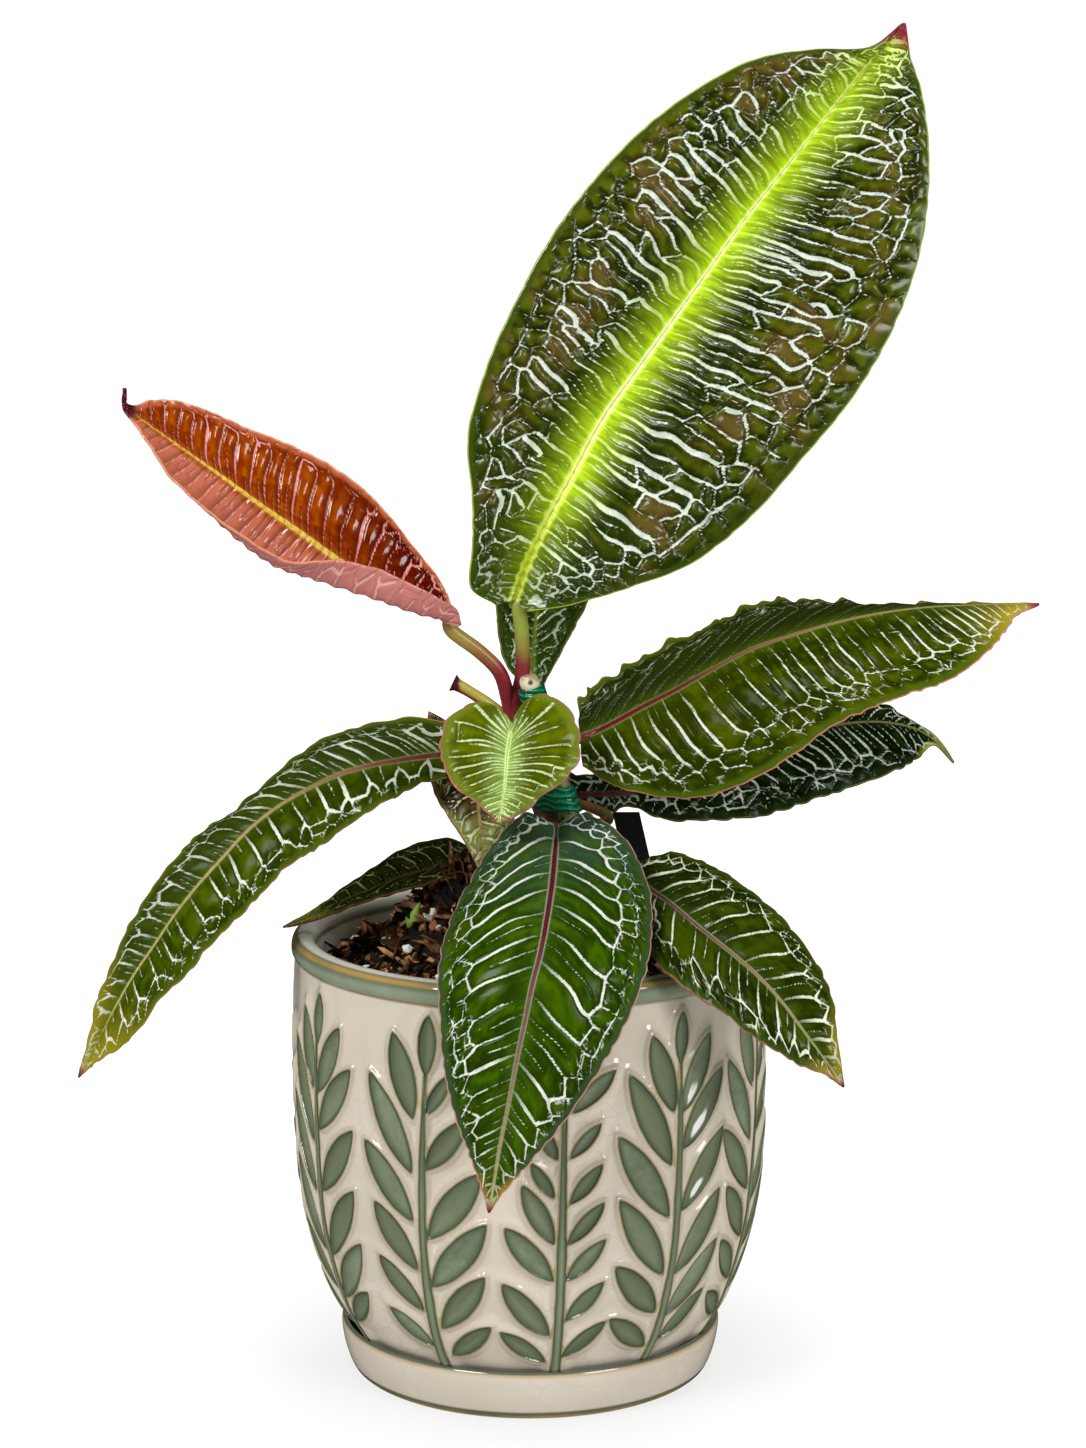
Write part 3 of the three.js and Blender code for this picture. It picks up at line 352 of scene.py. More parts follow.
def glazeMaterial():
    # glossy reactive glaze on stoneware: deep reflections, fine crackle, brown where it thins on an edge
    material, tree = newMaterial("reactiveGlaze")
    gap = addNode(tree, "ShaderNodeAttribute", out=2, attribute_name="sprigGap")
    tone = addNode(tree, "ShaderNodeAttribute", out=2, attribute_name="sprigTone")
    zone = addNode(tree, "ShaderNodeAttribute", out=1, attribute_name="glazeZone")
    green, gold, inner = (addNode(tree, "ShaderNodeSeparateXYZ", [zone], out=k) for k in range(3))
    place = addNode(tree, "ShaderNodeTexCoord", out=3)
    mottle = addNode(tree, "ShaderNodeTexNoise",
                     {"Vector": place, "Scale": 38.0, "Detail": 5.0, "Roughness": 0.6})
    speck = addNode(tree, "ShaderNodeTexNoise",
                    {"Vector": place, "Scale": 420.0, "Detail": 3.0, "Roughness": 0.6})
    wander = addNode(tree, "ShaderNodeMapRange", [mottle, 0.3, 0.7, -0.35, 0.35])
    edge = addNode(tree, "ShaderNodeMath", [gap, wander], operation="ADD")
    # crackle cells about 7 mm wide
    cell = addNode(tree, "ShaderNodeTexVoronoi", {"Vector": place, "Scale": 150.0}, feature="DISTANCE_TO_EDGE")
    crack = addNode(tree, "ShaderNodeMapRange", [cell, 0.03, 0.0, 0.0, 1.0])
    patch = addNode(tree, "ShaderNodeMapRange", [mottle, 0.45, 0.65, 0.0, 0.3])
    crack = addNode(tree, "ShaderNodeMath", [crack, patch], operation="MULTIPLY")
    cream = addNode(tree, "ShaderNodeMix", {0: mottle, 6: "#b9ae9c", 7: "#d3cabb"}, out=2, data_type="RGBA")
    # the cream turns browner within 2 mm round each sprig: painted shade beside the raised relief
    shadeRing = addNode(tree, "ShaderNodeMapRange", [edge, 2.0, 0.2, 0.0, 0.3], interpolation_type="SMOOTHSTEP")
    cream = addNode(tree, "ShaderNodeMix", {0: shadeRing, 6: cream, 7: "#ab9a84"}, out=2, data_type="RGBA")
    cream = addNode(tree, "ShaderNodeMix", {0: crack, 6: cream, 7: "#8f7459"}, out=2, data_type="RGBA")
    grit = addNode(tree, "ShaderNodeMath", [speck, 0.4, mottle], operation="MULTIPLY_ADD")
    grit = addNode(tree, "ShaderNodeMapRange", [grit, 0.52, 0.88, 0.0, 1.0])
    centre = addNode(tree, "ShaderNodeMix", {0: grit, 6: "#5f6c57", 7: "#939e87"}, out=2, data_type="RGBA")
    centre = addNode(tree, "ShaderNodeMix", {0: tone, 6: centre, 7: "#6a7357"}, out=2, data_type="RGBA")
    # the stems run paler along their middle
    onStem = addNode(tree, "ShaderNodeMath", [tone, stemTone, 0.01], operation="COMPARE")
    onStem = addNode(tree, "ShaderNodeMath", [onStem, 0.9], operation="MULTIPLY")
    centre = addNode(tree, "ShaderNodeMix", {0: onStem, 6: centre, 7: "#939d7e"}, out=2, data_type="RGBA")
    # each sprig leaf darkens towards its edge, partly glaze pooled on the dish's wall and partly painted shade
    # in the recess
    pooledGlazeAndShade = addNode(tree, "ShaderNodeMapRange", [edge, -2.7, -0.25, 0.0, 0.85],
                       interpolation_type="SMOOTHSTEP")
    sage = addNode(tree, "ShaderNodeMix", {0: pooledGlazeAndShade, 6: centre, 7: "#3f4b39"}, out=2, data_type="RGBA")
    inside = addNode(tree, "ShaderNodeMapRange", [edge, 0.15, -0.1, 0.0, 1.0], interpolation_type="SMOOTHSTEP")
    line = addNode(tree, "ShaderNodeMath", [edge, 0.1], operation="ADD")
    line = addNode(tree, "ShaderNodeMath", [line], operation="ABSOLUTE")
    line = addNode(tree, "ShaderNodeMapRange", [line, 0.42, 0.1, 0.0, 0.85], interpolation_type="SMOOTHSTEP")
    wall = addNode(tree, "ShaderNodeMix", {0: inside, 6: cream, 7: sage}, out=2, data_type="RGBA")
    wall = addNode(tree, "ShaderNodeMix", {0: line, 6: wall, 7: "#9c9068"}, out=2, data_type="RGBA")
    band = addNode(tree, "ShaderNodeMix", {0: mottle, 6: "#57634f", 7: "#98a28b"}, out=2, data_type="RGBA")
    # the rim's band is painted darker along both edges, 3 mm from the middle, as painted shade where the rolled
    # band turns from the light
    rise = addNode(tree, "ShaderNodeSeparateXYZ", [place], out=2)
    rise = addNode(tree, "ShaderNodeMath", [rise, potShape["bandMiddle"] * mm], operation="SUBTRACT")
    rise = addNode(tree, "ShaderNodeMath", [rise], operation="ABSOLUTE")
    rise = addNode(tree, "ShaderNodeMapRange", [rise, 0.0008, 0.0032, 0.0, 0.75],
                   interpolation_type="SMOOTHSTEP")
    band = addNode(tree, "ShaderNodeMix", {0: rise, 6: band, 7: "#454f3c"}, out=2, data_type="RGBA")
    wall = addNode(tree, "ShaderNodeMix", {0: green, 6: wall, 7: band}, out=2, data_type="RGBA")
    broken = addNode(tree, "ShaderNodeMapRange", [mottle, 0.38, 0.56, 0.35, 1.0])
    broken = addNode(tree, "ShaderNodeMath", [broken, gold], operation="MULTIPLY")
    wall = addNode(tree, "ShaderNodeMix", {0: broken, 6: wall, 7: "#b08a48"}, out=2, data_type="RGBA")
    wall = addNode(tree, "ShaderNodeMix", {0: inner, 6: wall, 7: "#dad5c8"}, out=2, data_type="RGBA")
    rough = addNode(tree, "ShaderNodeMapRange", [speck, 0.35, 0.7, 0.07, 0.15])
    # the crisp lip round each sprig leaf, finer than the mesh, with a faint orange peel
    lip = addNode(tree, "ShaderNodeMapRange", [edge, -0.9, -0.15, 0.0, 1.0], interpolation_type="SMOOTHSTEP")
    outer = addNode(tree, "ShaderNodeMapRange", [edge, -0.1, 1.8, 1.0, 0.0], interpolation_type="SMOOTHSTEP")
    lip = addNode(tree, "ShaderNodeMath", [lip, outer], operation="MULTIPLY")
    ripple = addNode(tree, "ShaderNodeTexNoise", {"Vector": place, "Scale": 90.0, "Detail": 2.0})
    height = addNode(tree, "ShaderNodeMath", [ripple, 0.35, lip], operation="MULTIPLY_ADD")
    bump = addNode(tree, "ShaderNodeBump", {"Strength": 1.0, "Distance": 0.0007, "Height": height})
    closeMaterial(tree, {"Base Color": wall, "Roughness": rough, "IOR": 1.52, "Normal": bump})
    return material


def lathe(profile, rise):
    # points and faces of a profile turned about Z, each point pushed out of the wall by its rise
    columns = rise.shape[1]
    angle = np.arange(columns) / columns * 2 * math.pi
    run = np.gradient(profile, axis=0)
    run /= np.linalg.norm(run, axis=1)[:, None] + 1e-9
    radius = profile[:, :1] + run[:, 1:] * rise
    height = profile[:, 1:] - run[:, :1] * rise
    points = np.stack([np.sin(angle) * radius, -np.cos(angle) * radius, height], -1).reshape(-1, 3)
    return points, gridFaces(len(profile), columns, closed=True)


def buildPot(glaze):
    columns = potShape["columns"]
    parts = [finer(potShape["foot"], 1.5), finer(potShape["wall"], 1.0)[1:], finer(potShape["rim"], 0.8)[1:],
             finer(potShape["inside"], 9.0)[1:], potShape["hole"]]
    profile = np.vstack(parts)
    wallStart = len(parts[0])
    wallEnd = wallStart + len(parts[1])
    rimEnd = wallEnd + len(parts[2])
    angle = np.arange(columns) / columns * 2 * math.pi
    gap = np.full((len(profile), columns), farGap)
    tone = np.zeros_like(gap)
    wall = slice(wallStart, wallEnd)
    radii, heights = (np.repeat(profile[wall, k:k + 1], columns, 1) for k in (0, 1))
    gap[wall], tone[wall] = sprigGap(np.broadcast_to(angle, heights.shape), heights, radii)
    # the wall swells in a bead round each sprig, whose leaves are dished and whose stems are round
    inside = np.clip(-gap, 0, None)
    leaf = potShape["leafRise"] - potShape["leafDish"] * (1 - np.exp(-(inside / 3.0) ** 2))
    stem = potShape["leafRise"] + 0.5 * (potShape["stemRise"] - 0.6) * (1 - np.exp(-(inside / 1.1) ** 2))
    bead = potShape["leafRise"] * np.exp(-(gap / potShape["shoulder"]) ** 2)
    rise = np.where(gap < 0, np.where(tone == stemTone, stem, leaf), bead)
    rise[:wallStart] = 0
    rise[wallEnd:] = 0
    rise *= np.clip((profile[:, 1:] - 7) / 6, 0, 1)
    # glaze by row: the green band, the gilt lines and the pale inside
    height, radius = profile[:, 1], profile[:, 0]
    row = np.arange(len(profile))
    onRim = (row >= wallEnd - 1) & (row < rimEnd)
    outer = onRim & (radius > potShape["bandInner"])
    gold = sum(share * np.exp(-((height - middle) / wide) ** 2) for middle, wide, share in potShape["gilt"])
    gold = np.where(outer, np.clip(gold, 0, 1), 0.0)
    onTop = onRim & (radius < potShape["topInner"]) & (height > potShape["topFrom"])
    inner = np.where(row >= rimEnd - 2, 1.0, np.where(onTop, potShape["topPale"], 0.0))
    zones = np.repeat(np.stack([onRim, gold, inner], -1)[:, None, :], columns, 1)
    points, faces = lathe(profile, rise)
    last = (len(profile) - 1) * columns
    closing = [(last + j, last + (j + 1) % columns, (j + 1) % columns, j) for j in range(columns)]
    pot = newMesh("potGlazed", points, np.vstack([faces, closing]), {"sprigGap": gap, "sprigTone": tone},
                  {"glazeZone": zones.reshape(-1, 3)})
    pot.data.materials.append(glaze)
    keepInside(pot)
    settle(pot, "pot")
    print("pot", len(pot.data.polygons), "faces")


saucerShape = {
    "columns": 256,
    "under": [[0.5, 0], [30, 0]],
    "wall": [[55.6, 0], [57, 1], [58.4, 4], [59.6, 8], [60.3, 12], [60.4, 14.4], [60.0, 15.8], [59.3, 16.2],
             [58.6, 15.5], [57.9, 11], [55.5, 6.6], [53, 5]],
    "floor": [[30, 5], [0.5, 5]],
}


def buildSaucer(glaze):
    columns = saucerShape["columns"]
    profile = np.vstack([saucerShape["under"], finer(saucerShape["wall"], 0.8), saucerShape["floor"]])
    count = len(profile)
    points, faces = lathe(profile, np.zeros((count, columns)))
    centre = len(points)
    points = np.vstack([points, [[0, 0, 0], [0, 0, 5]]])
    caps = [(centre, (j + 1) % columns, j) for j in range(columns)]
    last = (count - 1) * columns
    caps += [(centre + 1, last + j, last + (j + 1) % columns) for j in range(columns)]
    height, radius = profile[:, 1], profile[:, 0]
    # green on the lip, under the foot's edge and inside, with a gilt line below the lip and one at the foot
    green = np.where(height > 15.2, 1.0, 0.0) + np.where((height < 2.6) & (radius > 56.5), 1.0, 0.0)
    green = np.where((height > 5.5) & (np.arange(count) > np.argmax(height)), 1.0, green)
    gold = 0.6 * np.exp(-((height - 15.0) / 0.35) ** 2) * (radius > 59.3)
    gold += np.exp(-((height - 0.9) / 0.5) ** 2) * (radius > 56) * (np.arange(count) < 20)
    zones = np.clip(np.stack([green, gold, 0 * gold], -1), 0, 1)
    zones = np.vstack([np.repeat(zones, columns, 0), [[0, 0, 0], [0, 0, 0]]])
    mesh = newMesh("saucerGlazed", points, [*faces.tolist(), *caps],
                   {"sprigGap": np.full(len(points), farGap), "sprigTone": np.zeros(len(points))},
                   {"glazeZone": zones})
    mesh.data.materials.append(glaze)
    settle(mesh, "saucer")
    print("saucer", len(mesh.data.polygons), "faces")


# Paths: stem, cane, stalks and roots are round bars along a line
def pathTree():
    tree, group, final = newTree("barAlongPath", [("Sides", "Int"), ("Material", "Material")])
    line = addNode(tree, "GeometryNodeMeshToCurve", [group.outputs[0]])
    radius = addNode(tree, "GeometryNodeInputNamedAttribute", {0: "radius"}, data_type="FLOAT")
    ring = addNode(tree, "GeometryNodeCurvePrimitiveCircle", {0: group.outputs["Sides"], 4: 1.0}, mode="RADIUS")
    bar = addNode(tree, "GeometryNodeCurveToMesh", {0: line, 1: ring, "Scale": radius, "Fill Caps": True})
    bar = addNode(tree, "GeometryNodeSetShadeSmooth", {0: bar})
    endTree(tree, group, final, bar)
    return tree


def pathMesh(name, lines):
    # lines is a list of (points, radii), each drawn as a run of edges
    points, edges, radii = [], [], []
    for line, thickness in lines:
        start = len(points)
        points += [tuple(p) for p in line]
        radii += [t * mm for t in thickness]
        edges += [(start + i, start + i + 1) for i in range(len(line) - 1)]
    mesh = bpy.data.meshes.new(name)
    mesh.from_pydata((np.asarray(points, float) * mm).tolist(), edges, [])
    mesh.attributes.new("radius", "FLOAT", "POINT").data.foreach_set("value", radii)
    piece = bpy.data.objects.new(name, mesh)
    bpy.context.scene.collection.objects.link(piece)
    return piece


stemShape = {
    "line": [[-5.6, 2.5, 217], [-4.7, 3, 210.1], [-3.1, 3, 201.1], [1, 3, 190], [5.4, 4, 177], [8.2, 5, 162.2],
             [9.5, 5, 147.7], [10.5, 5, 110]],
    "radii": [3, 4, 4.1, 4.1, 4, 4.2, 4.4, 4.6],
    "stub": [[-3, 3, 203.5], [-5.5, 3, 206], [-12, 2.4, 212], [-18.7, 2, 216.6], [-22.6, 2, 218.8],
             [-24.0, 2, 219.5]],
    "stubRadii": [2.0, 2.2, 1.9, 1.8, 2.0, 2.9],
    "cane": [[-0.7, -4, 222.8], [31.6, -4, 113]], "caneRadius": 3.3,
}


def stubMaterial():
    # stub of a lost leaf stalk: waxy green with a red underside, dried maroon round its cut end
    material, tree = newMaterial("stubSkin")
    place = addNode(tree, "ShaderNodeTexCoord", out=3)
    noise = addNode(tree, "ShaderNodeTexNoise", {"Vector": place, "Scale": 260.0, "Detail": 3.0})
    across, height = (addNode(tree, "ShaderNodeSeparateXYZ", [place], out=k) for k in (0, 2))
    # the underside lies below the stub's own line, which rises 0.62 for each step sideways
    level = addNode(tree, "ShaderNodeMath", [across, 0.62, height], operation="MULTIPLY_ADD")
    red = addNode(tree, "ShaderNodeMapRange", [level, 0.2048, 0.2036, 0.0, 1.0])
    base = addNode(tree, "ShaderNodeMix", {0: red, 6: "#a39a3e", 7: "#7a2a24"}, out=2, data_type="RGBA")
    cut = addNode(tree, "ShaderNodeMapRange", [across, -0.0212, -0.0224, 0.0, 1.0])
    base = addNode(tree, "ShaderNodeMix", {0: cut, 6: base, 7: "#4f1620"}, out=2, data_type="RGBA")
    bump = addNode(tree, "ShaderNodeBump", {"Strength": 0.5, "Distance": 0.0006, "Height": noise})
    closeMaterial(tree, {"Base Color": base, "Roughness": 0.3, "IOR": 1.45, "Normal": bump})
    return material


def stemMaterial(name, top, low, scar, pits=0.0):
    # young woody stem: satin skin with small pale breathing spots and ring scars
    material, tree = newMaterial(name)
    place = addNode(tree, "ShaderNodeTexCoord", out=3)
    height = addNode(tree, "ShaderNodeSeparateXYZ", [place], out=2)
    noise = addNode(tree, "ShaderNodeTexNoise", {"Vector": place, "Scale": 300.0, "Detail": 4.0})
    share = addNode(tree, "ShaderNodeMapRange", [height, 0.188, 0.206, 0.0, 1.0])
    base = addNode(tree, "ShaderNodeMix", {0: share, 6: low, 7: top}, out=2, data_type="RGBA")
    spots = addNode(tree, "ShaderNodeMapRange", [noise, 0.6, 0.72, 0.0, 0.8])
    base = addNode(tree, "ShaderNodeMix", {0: spots, 6: base, 7: scar}, out=2, data_type="RGBA")
    holes = addNode(tree, "ShaderNodeTexVoronoi", {"Vector": place, "Scale": 330.0})
    holes = addNode(tree, "ShaderNodeMapRange", [holes, 0.34, 0.22, 0.0, pits])
    base = addNode(tree, "ShaderNodeMix", {0: holes, 6: base, 7: "#2a1a12"}, out=2, data_type="RGBA")
    # the sawn top of the cane is weathered brown
    worn = addNode(tree, "ShaderNodeMath", [noise, 0.006, height], operation="MULTIPLY_ADD")
    worn = addNode(tree, "ShaderNodeMapRange", [worn, 0.2236, 0.2256, 0.0, 0.75])
    base = addNode(tree, "ShaderNodeMix", {0: worn, 6: base, 7: "#7a5a34"}, out=2, data_type="RGBA")
    bump = addNode(tree, "ShaderNodeBump", {"Strength": 0.5, "Distance": 0.0006, "Height": noise})
    closeMaterial(tree, {"Base Color": base, "Roughness": 0.42, "IOR": 1.45, "Normal": bump})
    return material


def buildStem(tree):
    shares = np.linspace(0, 1, 70)
    line = curveAt(stemShape["line"], shares)
    radii = readAlong(stemShape["radii"], shares)
    # a ring scar stands out every 11 mm
    rings = 0.25 * np.exp(-((np.mod(line[:, 2], 11.0) - 5.5) / 0.9) ** 2)
    stubShares = np.linspace(0, 1, 16)
    stub = curveAt(stemShape["stub"], stubShares)
    bark = pathMesh("stemBark", [(line, radii + rings)])
    grow(bark, tree, {"Sides": 20, "Material": stemMaterial("stemSkin", "#6e1a20", "#5b4a2c", "#9a6a4a")})
    lost = pathMesh("stemStub", [(stub, readAlong(stemShape["stubRadii"], stubShares))])
    grow(lost, tree, {"Sides": 18, "Material": stubMaterial()})
    stem = joined("stemWhole", [bark, lost])
    settle(stem, "stem")
    # the cane is a little wavy, rounded at its top, with one shallow waist below it
    down = np.linspace(0, 1, 120)
    caneLine = np.array([[a + (b - a) * s for a, b in zip(*stemShape["cane"])] for s in down])
    wobble = 0.12 * np.sin(down * 19) - 0.1 - 1.0 * np.exp(-down * 150)
    wobble -= 0.5 * np.exp(-((down - 0.045) / 0.02) ** 2)
    cane = pathMesh("caneStick", [(caneLine, stemShape["caneRadius"] + wobble)])
    grow(cane, tree, {"Sides": 20, "Material": stemMaterial("splitCane", "#d9cfae", "#6a6a34", "#8a744c", 0.9)})
    settle(cane, "cane")
    print("stem and cane")


def dress(node, material):
    # a solid that is shown as it is, in its real material
    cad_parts[node].data.materials.clear()
    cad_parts[node].data.materials.append(material)


def buildSmall():
    # ties: thin stretchy polythene tape, glossy green; label: moulded dark plastic
    material, tree = newMaterial("greenTape")
    place = addNode(tree, "ShaderNodeTexCoord", out=3)
    fold = addNode(tree, "ShaderNodeTexWave",
                   {"Vector": place, "Scale": 160.0, "Distortion": 6.0, "Detail": 3.0}, bands_direction="Z")
    # the tape is darker in the troughs and lighter on the crests of the folds that the bump raises: painted
    # shade and light on the folds
    base = addNode(tree, "ShaderNodeMix", {0: fold, 6: "#064a30", 7: "#168a5c"}, out=2, data_type="RGBA")
    bump = addNode(tree, "ShaderNodeBump", {"Strength": 0.8, "Distance": 0.0008, "Height": fold})
    closeMaterial(tree, {"Base Color": base, "Roughness": 0.18, "IOR": 1.5, "Normal": bump})
    for node in ("tie_upper", "tie_lower"):
        dress(node, material)
    material, tree = newMaterial("labelPlastic")
    place = addNode(tree, "ShaderNodeTexCoord", out=3)
    noise = addNode(tree, "ShaderNodeTexNoise", {"Vector": place, "Scale": 900.0, "Detail": 2.0})
    base = addNode(tree, "ShaderNodeMix", {0: noise, 6: "#0b0c0d", 7: "#1b1d20"}, out=2, data_type="RGBA")
    bump = addNode(tree, "ShaderNodeBump", {"Strength": 0.15, "Distance": 0.0003, "Height": noise})
    closeMaterial(tree, {"Base Color": base, "Roughness": 0.3, "IOR": 1.49, "Normal": bump})
    dress("plant_label", material)
    print("ties and label")


# Potting mix: a dark lumpy bed with bark chips, crumbs, white lumps and roots strewn over it
barkTones = [(0.0, "#080402"), (0.4, "#140904"), (0.51, "#38210f"), (0.6, "#6c4626"), (0.7, "#a27247"),
             (0.82, "#d0a87c")]
soilShape = {
    "top": 127.6, "radius": 67.2, "rings": 60, "columns": 150, "seed": 7, "area": 0.0142,
    "heap": [-17.0, 14.0, 34.0, 17.5],  # the heap's middle, height and width
    "below": [[68.2, 120], [68.2, 104], [66.8, 66], [61, 38], [45.5, 12.7], [0.8, 12.7]],
    "peat": [(0.0, "#050302"), (0.4, "#100804"), (0.7, "#1e1109"), (1.0, "#2c1a0e")],
    "roots": 90, "rootTones": [(0.0, "#3a2213"), (0.5, "#6a4022"), (1.0, "#a37b4e")],
}
# What is strewn: how many, smallest and largest size, lift and tilt, the draw's seed, the lump's seed, shape
# and roughness, and the finish's name, tones and roughness
strewn = {
    "chips": (470, (2.6, 7.0), 0.6, 0.7, 11, (3, (1.8, 0.7, 0.42), 0.7), ("barkChip", barkTones, 0.5)),
    "shreds": (420, (3.0, 7.5), 1.4, 0.9, 17, (13, (2.4, 0.32, 0.2), 0.7), ("barkShred", barkTones, 0.5)),
    "scraps": (130, (2.5, 6.5), 1.8, 1.1, 29, (29, (1.5, 0.9, 0.16), 0.6),
               ("dryLeafScrap", [(0.0, "#2c140a"), (0.42, "#6a3216"), (0.56, "#a8562a"), (0.66, "#b98a58"),
                                 (0.8, "#d8c6a0")], 0.5)),
    "crumbs": (1500, (1.2, 3.2), 0.2, 1.2, 5, (5, (1.2, 0.9, 0.8), 0.6),
               ("peatCrumb", [(0.0, "#060302"), (0.45, "#120804"), (0.6, "#44290f"), (0.75, "#a57a4c")], 0.8)),
    "white": (60, (2.4, 5.0), 1.2, 1.5, 21, (9, (1.1, 1.0, 0.9), 0.3),
              ("perlite", [(0.0, "#b9b2a2"), (0.5, "#e2ded3"), (1.0, "#f3f1ea")], 0.85)),
}


def strewTree():
    # points strewn over the bed, each with one of the lumps, turned and sized at random
    tree, group, final = newTree("strewnOverBed", [
        ("Count", "Int"), ("Lump", "Object"), ("Smallest", "Float"), ("Largest", "Float"), ("Lift", "Float"),
        ("Tilt", "Float"), ("Seed", "Int"), ("Material", "Material")])
    bed = group.outputs[0]
    density = addNode(tree, "ShaderNodeMath", [group.outputs["Count"], soilShape["area"]], operation="DIVIDE")
    points = addNode(tree, "GeometryNodeDistributePointsOnFaces",
                     {0: bed, "Density": density, "Seed": group.outputs["Seed"]})
    lump = addNode(tree, "GeometryNodeObjectInfo", [group.outputs["Lump"]], out=4)
    low = addNode(tree, "ShaderNodeCombineXYZ", [-1.0, -1.0, 0.0])
    tilt = addNode(tree, "ShaderNodeVectorMath", {0: low, 3: group.outputs["Tilt"]}, operation="SCALE")
    high = addNode(tree, "ShaderNodeCombineXYZ", [1.0, 1.0, 0.0])
    high = addNode(tree, "ShaderNodeVectorMath", {0: high, 3: group.outputs["Tilt"]}, operation="SCALE")
    high = addNode(tree, "ShaderNodeVectorMath", {0: high, 1: (0.0, 0.0, 6.283)}, operation="ADD")
    turn = addNode(tree, "FunctionNodeRandomValue", {0: tilt, 1: high, "Seed": group.outputs["Seed"]},
                   data_type="FLOAT_VECTOR")
    size = addNode(tree, "FunctionNodeRandomValue",
                   {2: group.outputs["Smallest"], 3: group.outputs["Largest"], "Seed": group.outputs["Seed"]},
                   out=1, data_type="FLOAT")
    lumps = addNode(tree, "GeometryNodeInstanceOnPoints", {0: points, 2: lump, 5: turn, 6: size})
    shade = addNode(tree, "FunctionNodeRandomValue", {2: 0.0, 3: 1.0, "Seed": 3}, out=1, data_type="FLOAT")
    lumps = addNode(tree, "GeometryNodeStoreNamedAttribute", {0: lumps, 2: "lumpTone", 3: shade},
                    data_type="FLOAT", domain="INSTANCE")
    upward = addNode(tree, "ShaderNodeCombineXYZ", {"Z": group.outputs["Lift"]})
    lumps = addNode(tree, "GeometryNodeTranslateInstances", {0: lumps, 2: upward, 3: False})
    endTree(tree, group, final, lumps)
    return tree


def lumpMesh(name, seed, stretch, rough):
    # a rough lump one millimetre long, of 20 faces cut from a ball
    random = np.random.default_rng(seed)
    g = (1 + 5 ** 0.5) / 2
    points = np.array([(-1, g, 0), (1, g, 0), (-1, -g, 0), (1, -g, 0), (0, -1, g), (0, 1, g), (0, -1, -g),
                       (0, 1, -g), (g, 0, -1), (g, 0, 1), (-g, 0, -1), (-g, 0, 1)], float) / 3.8
    points *= np.array(stretch) * (1 + rough * (random.random((12, 3)) - 0.5))
    faces = [(0, 11, 5), (0, 5, 1), (0, 1, 7), (0, 7, 10), (0, 10, 11), (1, 5, 9), (5, 11, 4), (11, 10, 2),
             (10, 7, 6), (7, 1, 8), (3, 9, 4), (3, 4, 2), (3, 2, 6), (3, 6, 8), (3, 8, 9), (4, 9, 5),
             (2, 4, 11), (6, 2, 10), (8, 6, 7), (9, 8, 1)]
    return newMesh(name, points, faces, smooth=False)


def barkMaterial(name, stops, rough):
    # composted bark: fibrous, dark, a little damp
    material, tree = newMaterial(name)
    place = addNode(tree, "ShaderNodeTexCoord", out=3)
    tone = addNode(tree, "ShaderNodeAttribute", out=2, attribute_name="lumpTone")
    noise = addNode(tree, "ShaderNodeTexNoise",
                    {"Vector": place, "Scale": 420.0, "Detail": 5.0, "Roughness": 0.7})
    mixed = addNode(tree, "ShaderNodeMath", [tone, noise], operation="ADD")
    mixed = addNode(tree, "ShaderNodeMath", [mixed, 0.5], operation="MULTIPLY")
    base = addNode(tree, "ShaderNodeValToRGB", [mixed], stops=stops)
    bump = addNode(tree, "ShaderNodeBump", {"Strength": 0.9, "Distance": 0.0008, "Height": noise})
    closeMaterial(tree, {"Base Color": base, "Roughness": rough, "Normal": bump, "Specular IOR Level": 0.22})
    return material


